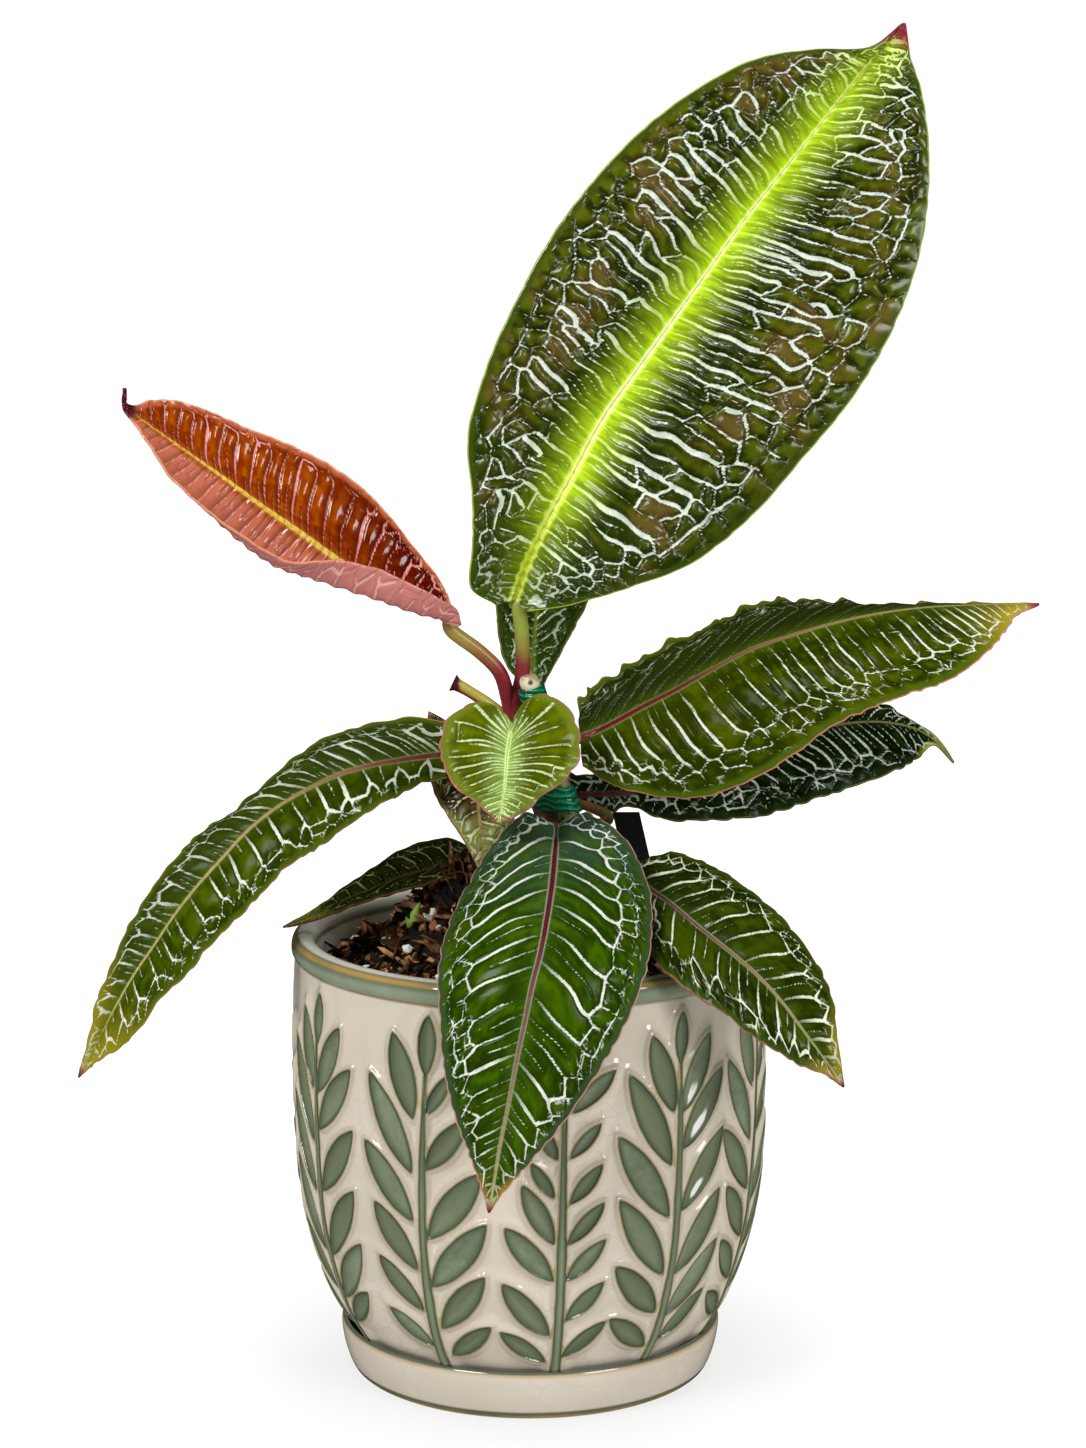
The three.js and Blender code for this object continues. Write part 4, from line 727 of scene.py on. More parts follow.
def buildSoil(bars):
    shape = soilShape
    random = np.random.default_rng(shape["seed"])
    columns, rings = shape["columns"], shape["rings"]
    radius = np.linspace(0.8, shape["radius"], rings)[:, None]
    angle = (np.arange(columns) / columns * 2 * math.pi)[None, :]
    x, y = np.sin(angle) * radius, -np.cos(angle) * radius

    def bedHeight(x, y):
        swell = 1.3 * np.sin(x * 0.16 + 1) * np.cos(y * 0.14) + 0.9 * np.sin(x * 0.31 - y * 0.27)
        heapX, heapY, tall, wide = shape["heap"]
        swell = swell + tall * np.exp(-((x - heapX) ** 2 + (y - heapY) ** 2) / (2 * wide ** 2))
        return shape["top"] + swell - 2.2 * np.clip((np.hypot(x, y) - 56) / 12, 0, 1)

    z = bedHeight(x, y) + 0.5 * (random.random(x.shape) - 0.5)
    points = np.stack([x, y, z], -1).reshape(-1, 3)
    # the bed is closed down to the pot's floor with the solid's own outline
    outline = np.array(shape["below"], float)
    ring = np.stack([np.sin(angle) * outline[:, :1], -np.cos(angle) * outline[:, :1],
                     outline[:, 1:] * np.ones((1, columns))], -1).reshape(-1, 3)
    allPoints = np.vstack([points, ring, [[0, 0, bedHeight(0.0, 0.0)], [0, 0, outline[-1, 1]]]])
    total = rings + len(outline)
    faces = gridFaces(total, columns, closed=True).tolist()
    last = (total - 1) * columns
    centre = len(allPoints) - 2
    faces += [(centre, (j + 1) % columns, j) for j in range(columns)]
    faces += [(centre + 1, last + j, last + (j + 1) % columns) for j in range(columns)]
    bed = newMesh("bed", allPoints, faces)
    bed.data.materials.append(barkMaterial("wetPeat", shape["peat"], 0.75))
    strew = strewTree()
    made = [bed]
    for name, (count, sizes, lift, tilt, seed, form, finish) in strewn.items():
        lump = lumpMesh(name + "Lump", *form)
        layer = newMesh(name, points, gridFaces(rings, columns, closed=True))
        grow(layer, strew, {"Count": count, "Lump": lump, "Smallest": sizes[0], "Largest": sizes[1],
                            "Lift": lift * mm, "Tilt": tilt, "Seed": seed, "Material": barkMaterial(*finish)})
        made.append(layer)
        bpy.data.objects.remove(lump)
    lines = []
    for _ in range(shape["roots"]):
        turn, reach = random.random() * 2 * math.pi, 60 * math.sqrt(random.random())
        start = np.array([math.cos(turn) * reach, math.sin(turn) * reach])
        heading = random.random() * 2 * math.pi
        run = []
        for step in range(9):
            heading += (random.random() - 0.5) * 0.9
            start = start + 1.9 * np.array([math.cos(heading), math.sin(heading)])
            if math.hypot(*start) > 64:
                break
            above = 1.6 + 1.6 * math.sin(step * 0.5) * random.random()
            run.append((start[0], start[1], float(bedHeight(*start)) + above))
        if len(run) > 3:
            lines.append((run, np.full(len(run), 0.22 + 0.2 * random.random())))
    roots = pathMesh("roots", lines)
    grow(roots, bars, {"Sides": 5, "Material": barkMaterial("rootFibre", shape["rootTones"], 0.6)})
    made.append(roots)
    # one green shoot with two leaves comes up through the bark
    sprout = pathMesh("shoot", [
        (curveAt([[-37, 3, 138], [-36.6, 1, 143], [-36, 0, 146.5], [-34.6, -1, 150]], np.linspace(0, 1, 16)),
         readAlong([0.6, 1.0, 1.9, 1.6, 0.8, 0.15], np.linspace(0, 1, 16))),
        (curveAt([[-37, 3, 139], [-38, 1, 142.5], [-39.2, 0, 145]], np.linspace(0, 1, 12)),
         readAlong([0.5, 1.2, 1.0, 0.15], np.linspace(0, 1, 12)))])
    green = stalkMaterial("shootSkin", "#76a636", "#a3c45e", (-0.037, 0.004, 0.138), 0.02)
    grow(sprout, bars, {"Sides": 12, "Material": green})
    made.append(sprout)
    soil = joined("pottingMix", made)
    settle(soil, "potting_mix")
    print("potting mix", len(soil.data.polygons), "faces")


# Leaves: points chosen on the photograph, as pixels across and down, each with its depth in millimetres
# behind the pot's middle. A row holds the midrib, left edge and right edge, whose depths count from the midrib
photograph = {"across": 543, "down": 724, "focus": 3580.0}  # its middle, and the focal length in its pixels
leafPoints = {
    "leaf_upright": {
        "stalk": [[513, 712, 3], [519, 690, 5], [523, 668, 6], [522, 635, 6], [519, 610, 5], [514, 600, 4]],
        "rows": [
            [514, 600, 4, 495, 605, -3, 528, 611, -6], [519, 586, 5, 470, 587, -6, 560, 607, -8],
            [527, 563, 7, 472, 548, -8, 590, 600, -9], [546, 522, 10, 472, 498, -10, 632, 587, -10],
            [571, 477, 13, 468, 433, -12, 693, 563, -11], [601, 421, 16, 489, 360, -13, 753, 515, -12],
            [634, 374, 19, 514, 305, -14, 804, 457, -13], [670, 324, 22, 544, 248, -14, 848, 404, -13],
            [706, 274, 26, 583, 193, -14, 886, 343, -13], [745, 219, 30, 633, 138, -13, 914, 275, -12],
            [784, 170, 33, 690, 93, -12, 927, 212, -10], [823, 121, 37, 752, 60, -10, 929, 146, -8],
            [860, 74, 40, 813, 49, -8, 922, 92, -6], [885, 44, 42, 868, 47, -4, 911, 57, -4],
            [905, 22, 43, 904, 22, 0, 906, 22, 0],
        ],
    },
    "leaf_young_red": {
        "stalk": [[512, 722, 2], [508, 700, 1], [500, 673, -1], [480, 652, -2], [452, 631, -3],
                  [436, 615, -3]],
        "rows": [
            [448, 618, -3, 462, 624, -5, 450, 604, 3], [436, 611, -3, 455, 608, -7, 443, 585, 6],
            [408, 600, -4, 425, 591, -10, 417, 550, 9], [375, 582, -5, 380, 569, -13, 375, 500, 10],
            [340, 560, -6, 335, 560, -16, 333, 467, 10], [300, 531, -8, 288, 560, -17, 290, 445, 10],
            [262, 505, -10, 243, 535, -17, 250, 429, 10], [225, 478, -12, 205, 507, -15, 212, 412, 9],
            [192, 455, -14, 172, 477, -12, 178, 401, 8], [162, 434, -16, 150, 443, -8, 152, 400, 6],
            [138, 417, -18, 133, 420, -3, 137, 405, 3], [124, 403, -19, 122, 405, 0, 126, 402, 0],
            [124, 388, -18, 123, 388, 0, 125, 388, 0],
        ],
    },
    "leaf_back": {
        "stalk": [[517, 735, 5], [526, 722, 9], [533, 708, 12], [535, 690, 14]],
        "rows": [
            [535, 690, 14, 528, 688, 0, 542, 689, 0], [533, 672, 18, 508, 668, -1, 551, 672, -1],
            [534, 645, 26, 499, 640, -3, 567, 642, -3], [538, 600, 38, 495, 590, -4, 590, 597, -4],
            [545, 550, 50, 495, 535, -5, 610, 545, -5], [556, 495, 60, 505, 475, -5, 622, 490, -5],
            [572, 440, 68, 530, 420, -4, 620, 438, -4], [592, 390, 74, 591, 390, 0, 593, 390, 0],
        ],
    },
    "leaf_right": {
        "stalk": [[526, 756, 3], [540, 751, 7], [562, 744, 4], [581, 738, -6]],
        "rows": [
            [581, 738, -6, 577, 714, 5, 583, 767, -5], [607, 727, -8, 583, 694, 9, 622, 789, -11],
            [643, 707, -11, 612, 673, 13, 690, 799, -16], [676, 690, -14, 650, 652, 16, 746, 783, -19],
            [713, 669, -16, 700, 628, 18, 797, 753, -20], [753, 649, -18, 740, 609, 18, 832, 727, -20],
            [797, 634, -20, 780, 598, 18, 868, 710, -19], [843, 621, -22, 818, 600, 17, 908, 695, -18],
            [888, 612, -24, 862, 603, 15, 952, 679, -16], [930, 607, -26, 908, 605, 12, 985, 655, -13],
            [972, 605, -28, 955, 604, 8, 1006, 631, -9], [1012, 604, -29, 1002, 603, 4, 1018, 615, -4],
            [1040, 604, -30, 1039, 603, 0, 1041, 605, 0],
        ],
    },
    "leaf_right_low": {
        "stalk": [[552, 842, 6], [572, 836, 9], [590, 829, 10], [608, 816, 11], [632, 793, 12]],
        # the blade's hidden base, in millimetres
        "base": [[10.5, 16, 180, 10.5, 19, 188, 12.5, 14, 174], [18.8, 16, 181, 18.5, 18, 187, 20, 14, 178],
                 [25.3, 15, 181.4, 24.5, 18.5, 189.4, 26.2, 12, 176.4]],
        "rows": [
            [632, 793, 12, 628, 780, 6, 630, 806, -3], [662, 782, 15, 655, 752, 14, 665, 819, -9],
            [705, 767, 19, 700, 726, 18, 715, 820, -13], [750, 751, 23, 748, 703, 20, 765, 815, -15],
            [795, 736, 27, 795, 688, 20, 812, 800, -16], [838, 725, 31, 845, 692, 18, 855, 786, -15],
            [878, 722, 34, 882, 703, 12, 898, 770, -12], [912, 728, 36, 913, 720, 5, 920, 757, -7],
            [936, 742, 37, 939, 739, 1, 934, 746, -1], [954, 763, 38, 955, 762, 0, 953, 764, 0],
        ],
    },
    "leaf_heart": {
        "stalk": [[532, 750, 2], [530, 742, -4], [524, 735, -9], [517, 727, -18], [513, 726, -24]],
        "rows": [
            [513, 726, -24, 519, 713, 2, 505, 714, 2], [512, 730, -25, 533, 698, 4, 488, 703, 4],
            [511, 735, -27, 553, 696, 4, 465, 705, 4], [509, 744, -29, 573, 715, 2, 446, 722, 2],
            [507, 756, -32, 580, 740, 0, 440, 747, 0], [506, 770, -35, 577, 764, -2, 445, 770, -2],
            [505, 783, -38, 560, 784, -3, 458, 791, -3], [503, 796, -40, 541, 797, -3, 473, 799, -3],
            [501, 808, -42, 526, 811, -2, 486, 812, -2], [499, 822, -43, 503, 823, 0, 496, 822, 0],
        ],
    },
    "leaf_front": {
        "stalk": [[551, 829, 3], [552, 829, -3], [553, 828, -9], [554, 827, -13], [556, 827, -16]],
        "rows": [
            [556, 827, -16, 572, 817, 1, 540, 817, 1], [556, 838, -26, 592, 814, 6, 520, 815, 6],
            [555, 856, -42, 628, 842, 10, 490, 848, 10], [552, 885, -62, 649, 888, 12, 463, 893, 12],
            [547, 918, -78, 652, 932, 10, 444, 937, 11], [541, 951, -89, 646, 972, 7, 438, 977, 8],
            [532, 986, -95, 631, 1013, 5, 439, 1010, 6], [525, 1020, -98, 613, 1048, 4, 441, 1045, 5],
            [517, 1058, -100, 590, 1085, 3, 446, 1082, 4], [509, 1100, -100, 562, 1125, 2, 456, 1120, 3],
            [500, 1145, -99, 531, 1162, 1, 470, 1158, 2], [494, 1183, -98, 504, 1193, 0, 482, 1191, 1],
            [489, 1213, -97, 490, 1213, 0, 488, 1213, 0],
        ],
    },
    "leaf_front_right": {
        "stalk": [[557, 861, 3], [564, 863, -6], [575, 865, -12], [592, 866, -14], [610, 868, -15],
                  [627, 874, -16]],
        "rows": [
            [627, 874, -16, 640, 862, 4, 628, 890, -3], [645, 887, -25, 672, 852, 9, 640, 925, -10],
            [672, 906, -37, 708, 864, 13, 657, 962, -30], [700, 929, -49, 742, 884, 15, 688, 990, -21],
            [728, 951, -58, 772, 908, 15, 722, 1012, -14], [755, 974, -65, 798, 936, 14, 752, 1036, -11],
            [780, 1001, -70, 818, 965, 11, 779, 1053, -8], [802, 1030, -74, 833, 1000, 7, 802, 1067, -5],
            [824, 1060, -77, 838, 1040, 4, 826, 1075, -3], [844, 1087, -78, 845, 1087, 0, 843, 1088, 0],
        ],
    },
    "leaf_left": {
        "stalk": [[520, 752, 3], [509, 753, -3], [482, 750, -6], [447, 752, -5]],
        "rows": [
            [447, 754, -5, 447, 779, -3, 447, 721, 4], [425, 757, -7, 424, 783, -5, 405, 717, 7],
            [398, 761, -10, 400, 795, -7, 366, 725, 9], [370, 766, -12, 376, 807, -9, 332, 735, 10],
            [341, 774, -14, 347, 827, -10, 300, 752, 10], [310, 788, -16, 317, 849, -11, 264, 784, 10],
            [279, 806, -18, 288, 866, -11, 233, 811, 9], [250, 829, -20, 260, 896, -11, 205, 828, 8],
            [222, 859, -22, 234, 922, -10, 180, 853, 7], [197, 887, -24, 209, 947, -9, 157, 880, 6],
            [175, 915, -25, 186, 976, -8, 138, 910, 5], [154, 946, -26, 163, 996, -7, 122, 938, 5],
            [135, 974, -27, 141, 1027, -6, 109, 970, 4], [117, 1005, -28, 120, 1048, -4, 96, 1002, 3],
            [101, 1035, -28, 100, 1060, -2, 87, 1042, 1], [78, 1078, -28, 79, 1078, 0, 77, 1077, 0],
        ],
    },
    "leaf_left_low": {
        "stalk": [[556, 872, 6], [544, 872, 10], [530, 872, 12], [505, 870, 13], [478, 868, 14]],
        "rows": [
            [478, 866, 12, 474, 873, -3, 468, 846, 6], [455, 866, 13, 452, 878, -7, 450, 838, 10],
            [430, 870, 13, 426, 884, -10, 425, 841, 12], [403, 877, 11, 395, 892, -12, 398, 851, 12],
            [375, 889, 8, 368, 900, -11, 372, 868, 10], [348, 899, 4, 340, 910, -8, 347, 885, 8],
            [320, 912, -1, 316, 919, -4, 315, 908, 4], [284, 927, -7, 285, 928, 0, 283, 926, 0],
        ],
    },
    "leaf_old": {
        "stalk": [[517, 744, 4], [503, 733, 6], [486, 729, 7], [470, 735, 7]],
        "rows": [
            [470, 735, 7, 490, 735, -1, 428, 711, 2], [472, 760, 4, 505, 765, -2, 426, 748, 3],
            [476, 790, -3, 514, 790, -2, 433, 790, 2], [479, 812, -9, 516, 812, -2, 446, 814, 2],
            [481, 836, -14, 508, 832, -1, 462, 839, 1], [482, 856, -17, 494, 850, 0, 472, 857, 0],
            [479, 872, -18, 480, 872, 0, 478, 872, 0],
        ],
    },
}


def onSight(across, down, depth):
    # where the line of sight through a point of the photograph is this deep, to a tenth of a millimetre
    tilt = math.radians(studio["pitch"])
    right = (across - photograph["across"]) / photograph["focus"]
    rise = (photograph["down"] - down) / photograph["focus"]
    sight = np.array([right, math.cos(tilt) + rise * math.sin(tilt), rise * math.cos(tilt) - math.sin(tilt)])
    eye = np.array(studio["eye"])
    return np.round(eye + sight * (depth - eye[1]) / sight[1], 1)


def leafRows(points):
    # the blade's rows in millimetres: midrib, left edge, right edge
    rows = [[*onSight(*row[:3]), *onSight(*row[3:5], row[2] + row[5]), *onSight(*row[6:8], row[2] + row[8])]
            for row in points["rows"]]
    return np.array(points.get("base", []) + rows)


# What most leaves share, and below it what is each leaf's own. Sizes are in millimetres, places along a leaf
# and across it in shares of its length and width. Pairs are for the left and the right half
usualLook = {
    "slot": "leaf_green",
    "tuck": 1.0,  # how far the stalk's line runs below the midrib
    "spike": (1.5, 0.8),  # how far the teeth lean to the tip, and how wide they are
    "starts": ((), ()),  # where side veins leave the midrib, before the pitch takes over
    "reach": 0.66, "rowStep": 0.13,  # where the side veins end, and the step of the rows of cells past them
    "netWide": 0.55, "spread": (0.6, 0.7),  # width of the outer veins, and how widths vary
    "furrow": 0.2, "streak": 0.12, "shine": 0.5,  # depth of the bump, its streaks, and the gloss's strength
    "bronzeShare": 0.4, "bronzeFrom": 0.0, "bronzeFoot": 1.0,  # bronze patches, from where, and at the foot
    # dim: a painted shade over the half of some leaves turned from the light, and for the young red leaf its
    # paler folded half
    "dim": "#2e3a12", "dimSide": 0, "dimShare": 0.0, "dimVein": 1.0,  # one half in another colour
    "footVein": 1.0, "glowFoot": 1.0,  # veins and glow at the blade's foot
    "spurFrom": 0.5, "groove": (0.0, "#808040"),  # where spurs begin, and the line along the midrib
}
# Each leaf: its stalk's colours and size, then its veins (pitch, slope and curl of the side veins, split cells,
# size of the outer cells, warp of the net and ragged edges), then how it puffs up, and its colours
leafLooks = {
    "leaf_upright": {
        "stalk": ("#8a9434", "#7e2a2c"), "seed": 11, "grid": 0.72, "lift": ([0.1], [0.1]), "rib": 1.7,
        "foot": 2.3, "tuck": 2.6, "tooth": 0.25, "toothPitch": 9.0, "curl": 0.06,
        "pitch": 5.0, "slope": ([-0.1, 0.2, 0.2, 0.15, 0.2, 0.2], [-0.3, -0.05, 0, -0.05, -0.05, 0.1, 0.4]),
        "reach": 0.7, "fade": 0.94, "split": 0.8, "cells": 5.5, "warp": 0.6, "ragged": 0.17, "veinWide": 0.92,
        "thinWide": 0.32, "netWide": 0.52, "spread": (0.25, 1.5),
        "bulge": 1.7, "pillow": 1.6, "furrow": 0.4, "streak": 0.07, "gloss": 0.19, "shine": 0.32,
        "depth": 0.62, "deep": "#262f06", "fresh": "#5d6b1a", "head": "#2e400a", "headShare": 0.9,
        # its bronze cells are made light and many, partly their own bronze and partly painted highlights on the
        # puffed cells
        "bronze": "#735f42", "bronzeShare": 0.75, "bronzeFrom": 0.35, "bronzeFoot": 0.0, "margin": "#33450c",
        "marginWide": 3.0, "edge": "#8f9a38", "vein": "#ccd6c6", "veinNear": "#d2ec6e", "veinStart": 0.7,
        # its lime glow and pale yellow midrib are painted light shining through the blade, over the midrib's
        # own pale colour
        "footVein": 0.5, "spur": 0.15, "spurFrom": 0.35, "paintedGlow": "#b9dc1c", "glowWide": 17.0,
        "glowPower": 1.0, "glowFoot": 0.2, "tip": "#b0442c", "tipFrom": 1.02, "tipWide": 0.02,
        "point": "#7a1f2c", "pointFrom": 0.95, "ribRamp": [(0.0, "#7f8c1c"), (0.07, "#b4c030"),
        (0.2, "#eef28a"), (0.4, "#fafcc4"), (0.8, "#f4f9a4"), (1.0, "#e6e070")], "ribWide": 1.7,
        "ribEdge": "#dff060", "groove": (0.75, "#a3b41c"), "under": "#7f8f4c", "underVein": "#a9b57a",
    },
    "leaf_young_red": {
        "slot": "leaf_red", "stalk": ("#8f7a30", "#7c1f28"), "seed": 23, "grid": 0.6,
        "lift": ([-0.2, -0.4, -0.5, -0.5, -0.4, -0.2, -0.1, -0.1, -0.1], [-0.12]), "rib": 1.1, "foot": 2.3,
        "tooth": 0.25, "toothPitch": 6.0, "curl": -0.05,
        "pitch": (5.0, 5.6), "slope": ([0.1, 0.15, 0.2], [-0.25]), "reach": 0.9, "fade": 0.97, "split": 0.0,
        "cells": 5.0, "rowStep": 0.12, "warp": 0.3, "ragged": 0.12, "veinWide": 0.6, "thinWide": 0.3,
        "bulge": 1.0, "pillow": 2.3, "furrow": 0.5, "gloss": 0.08, "shine": 0.36, "depth": 0.85,
        "deep": "#7c2a08", "fresh": "#b0581f", "head": "#560c08", "headShare": 1.0, "bronze": "#8f3a10",
        "dim": "#b86a54", "dimSide": -1, "dimShare": 0.75, "dimVein": 0.8, "margin": "#b5603e",
        "marginWide": 2.5, "edge": "#c58262", "vein": "#d38a80", "veinNear": "#d98a62", "veinStart": 0.7,
        "spur": 0.0, "paintedGlow": "#b86430", "glowWide": 4.0, "glowPower": 0.4, "tip": "#b5503a", "tipFrom": 0.9,
        "tipWide": 0.1, "point": "#4a0f1a", "pointFrom": 0.9,
        "ribRamp": [(0.0, "#c9b04e"), (0.6, "#cfae3c"), (1.0, "#b8863a")], "ribWide": 0.85,
        "ribEdge": "#b8733a", "under": "#b5706a", "underVein": "#d9a89a",
    },
    "leaf_back": {
        "stalk": ("#5f6a2c", "#7a4a34"), "seed": 31, "grid": 0.8, "lift": ([0.08], [0.08]), "rib": 1.1,
        "foot": 1.8, "tooth": 0.3, "toothPitch": 6.0, "curl": 0.2,
        "pitch": 6.4, "slope": ([0.6, 0.2], [0.6, 0.2]), "fade": 0.88, "split": 0.1, "cells": 5.5,
        "warp": 0.6, "ragged": 0.2, "veinWide": 0.7, "thinWide": 0.35,
        "bulge": 0.5, "pillow": 2.4, "furrow": 0.5, "gloss": 0.14, "depth": 0.6, "deep": "#22330a",
        "fresh": "#53701a", "head": "#35500f", "headShare": 0.5, "bronze": "#544713", "bronzeShare": 0.15,
        "margin": "#2c3c0c", "marginWide": 3.0, "edge": "#6c6a30", "vein": "#a3b092", "veinNear": "#8f9a5a",
        "veinStart": 0.6, "spur": 0.2, "paintedGlow": "#3a4a0f", "glowWide": 3.0, "glowPower": 0.2, "tip": "#7a3a2c",
        "tipFrom": 0.95, "tipWide": 0.05, "point": "#5a1a1c", "pointFrom": 0.99,
        "ribRamp": [(0.0, "#55691f"), (1.0, "#5f7328")], "ribWide": 0.9, "ribEdge": "#4f6424",
        "under": "#4f6330", "underVein": "#7a8a56",
    },
    "leaf_right": {
        "stalk": ("#6a2c30", "#8a4a3a"), "seed": 41, "grid": 0.66, "lift": ([0.05], [0.1]), "rib": 1.2,
        "foot": 1.9, "tooth": (1.5, 0.5), "toothPitch": 6.5, "spike": (2.2, 2.0), "curl": 0.12,
        "pitch": (6.8, 4.5), "slope": ([1.7, 1.9, 1.8, 1.5], [0.3, 0.0, -0.15, -0.1, 0, -0.1]), "starts": ((),
        (3.1, 7, 10.5, 17.4, 23.3, 29, 35.2, 41.8, 47.3, 54, 62.5, 66.2, 70.4, 75.9, 80.5, 85, 89, 93.9, 98.1,
        102.2, 105.6, 109.8, 113.2, 117, 121, 124, 127, 130, 133)), "fade": 0.93, "split": 0.05, "cells": 5.8,
        "rowStep": 0.14, "warp": 0.28, "ragged": 0.12, "veinWide": (0.45, 0.7), "thinWide": 0.06,
        "netWide": 0.7,
        "bulge": 0.22, "pillow": 3.0, "gloss": 0.13, "shine": 0.03, "depth": 0.62, "deep": "#2a3605",
        # its far half is dimmed: painted shade
        "fresh": "#526412", "head": "#33440a", "headShare": 0.4, "bronze": "#66701a", "dim": "#1a2406",
        "dimSide": -1, "dimShare": 0.85, "dimVein": 0.1, "margin": "#46590f", "marginWide": 3.5,
        "edge": "#b0705a", "vein": "#cdd3c0", "veinNear": "#9fa68c", "veinStart": 0.5, "spur": 0.4,
        "paintedGlow": "#566c12", "glowWide": 6.0, "glowPower": 0.35, "tip": "#9a8a22", "tipFrom": 0.79,
        "tipWide": 0.19, "point": "#7a2030", "pointFrom": 0.96,
        "ribRamp": [(0.0, "#5e0e1e"), (0.25, "#5c2226"), (0.5, "#7c5a4c"), (1.0, "#9a8a50")], "ribWide": 0.85,
        "ribEdge": "#6f7a40", "under": "#5f7338", "underVein": "#8a9a66",
    },
    "leaf_right_low": {
        "slot": "leaf_dark", "stalk": ("#66722e", "#8a4a34"), "seed": 53, "grid": 0.72,
        "lift": ([0.05], [0.08]), "rib": 1.1, "foot": 1.9, "tooth": 0.7, "toothPitch": 7.0, "curl": 0.22,
        "pitch": 5.6, "slope": ([0.7, 0.3], [0.7, 0.3]), "reach": 0.6, "fade": 0.93, "split": 0.1,
        "cells": 6.0, "warp": 0.4, "ragged": 0.16, "veinWide": 0.8, "thinWide": 0.35, "netWide": 0.75,
        # its greens are nearly black: its own dark green, darkened further as a painted shadow from the leaf
        # above
        "bulge": 0.4, "pillow": 2.4, "gloss": 0.16, "shine": 0.1, "depth": 0.72, "deep": "#0e1606",
        "fresh": "#26361a", "head": "#131c0a", "headShare": 0.7, "bronze": "#22301a", "bronzeShare": 0.3,
        "margin": "#1c2a10", "marginWide": 3.0, "edge": "#5c5a28", "vein": "#b4beb0", "veinNear": "#8a9680",
        "veinStart": 0.6, "spur": 0.3, "paintedGlow": "#26361a", "glowWide": 4.0, "glowPower": 0.2, "tip": "#98a022",
        "tipFrom": 0.9, "tipWide": 0.06, "point": "#6a1f2c", "pointFrom": 0.99,
        "ribRamp": [(0.0, "#5a2028"), (0.5, "#5a4a38"), (1.0, "#7a7a3a")], "ribWide": 0.8,
        "ribEdge": "#4c5440", "under": "#485c34", "underVein": "#76865e",
    },
    "leaf_heart": {
        "slot": "leaf_pale", "stalk": ("#8a9a3c", "#a8566a"), "seed": 61, "grid": 0.32,
        "lift": ([0.16], [0.16]), "rib": 0.9, "foot": 1.4, "tooth": 0.7, "toothPitch": 4.0, "curl": -0.06,
        "pitch": 2.1, "slope": ([-0.4, 0.1, 0.35, 0.3], [-0.3, 0.2, 0.35, 0.2]), "reach": 0.95, "fade": 0.84,
        "split": 0.3, "cells": 4.0, "rowStep": 0.2, "warp": 0.2, "ragged": 0.07, "veinWide": 0.38,
        "thinWide": 0.28,
        "bulge": 0.6, "pillow": 1.2, "furrow": 0.3, "gloss": 0.12, "shine": 0.14, "depth": 0.5,
        "deep": "#566314", "fresh": "#7f8d3c", "head": "#6a7a20", "headShare": 0.4, "bronze": "#6a7426",
        "bronzeFrom": 0.3, "margin": "#66741f", "marginWide": 4.5, "edge": "#a85a60", "vein": "#bccb9a",
        "veinNear": "#d2e5a8", "veinStart": 0.95, "spur": 0.0, "paintedGlow": "#9dbb5a", "glowWide": 9.0,
        "glowPower": 0.85, "tip": "#a8605a", "tipFrom": 0.95, "tipWide": 0.04, "point": "#8a3a44",
        "pointFrom": 0.99, "ribRamp": [(0.0, "#c3d98a"), (0.7, "#d6e8a4"), (1.0, "#b8a060")], "ribWide": 0.75,
        "ribEdge": "#cfe3a0", "groove": (0.7, "#78923c"), "under": "#8f9c5c", "underVein": "#b8c28c",
    },
    "leaf_front": {
        "slot": "leaf_dark", "stalk": ("#7a2434", "#5a2a24"), "seed": 71, "grid": 0.58,
        "lift": ([0.1], [0.1]), "rib": 1.2, "foot": 1.7, "tooth": 0.55, "toothPitch": 5.5, "curl": 0.1,
        "pitch": 8.5, "slope": ([1.6, 1.1, 0.8, 0.55, 0.65, 0.5], [1.9, 1.2, 0.4, 0.1, 0.05, 0]),
        "starts": ((18.5, 28, 37.7, 47, 56.2, 68.9, 80.7, 90.8, 101.5, 109.8, 119.9, 126.9, 134), (11.2, 25,
        38.1, 49, 60.5, 72.5, 81.3, 92.5, 100.9, 108.4, 114.8, 124.3, 130.7, 136)), "reach": 0.62,
        "fade": 0.91, "split": 0.0, "cells": 5.2, "rowStep": 0.16, "warp": 0.35, "ragged": 0.16,
        "veinWide": 0.88, "thinWide": 0.38, "netWide": 0.6,
        "bulge": 0.5, "pillow": 2.8, "gloss": 0.15, "shine": 0.08, "depth": 0.72, "deep": "#263a10",
        # its bluish-grey head is partly a painted sheen over its dark green
        "fresh": "#49622c", "head": "#3a4e42", "headShare": 0.95, "bronze": "#4f6a1c", "bronzeShare": 0.35,
        "margin": "#33492a", "marginWide": 3.5, "edge": "#b08470", "vein": "#cfd5c8", "veinNear": "#93a07e",
        "veinStart": 0.4, "spur": 0.5, "spurFrom": 0.55, "paintedGlow": "#4c6a1a", "glowWide": 6.0, "glowPower": 0.3,
        "tip": "#8a6a24", "tipFrom": 0.93, "tipWide": 0.06, "point": "#5a1420", "pointFrom": 0.965,
        "ribRamp": [(0.0, "#4c0c1c"), (0.45, "#521624"), (0.68, "#74544c"), (1.0, "#a8a058")], "ribWide": 1.0,
        "ribEdge": "#8e9a80", "under": "#5c733e", "underVein": "#88986a",
    },
    "leaf_front_right": {
        "stalk": ("#6a4a2c", "#7a2a34"), "seed": 83, "grid": 0.58, "lift": ([0.12], [0.12]), "rib": 1.1,
        "foot": 1.7, "tooth": 0.6, "toothPitch": 6.0, "curl": 0.08,
        "pitch": 7.8, "slope": ([1.4, 0.9, 0.65, 0.65, 0.9, 1.2], [0.1, 0.1, 0.15, 0, -0.15]), "starts": ((7,
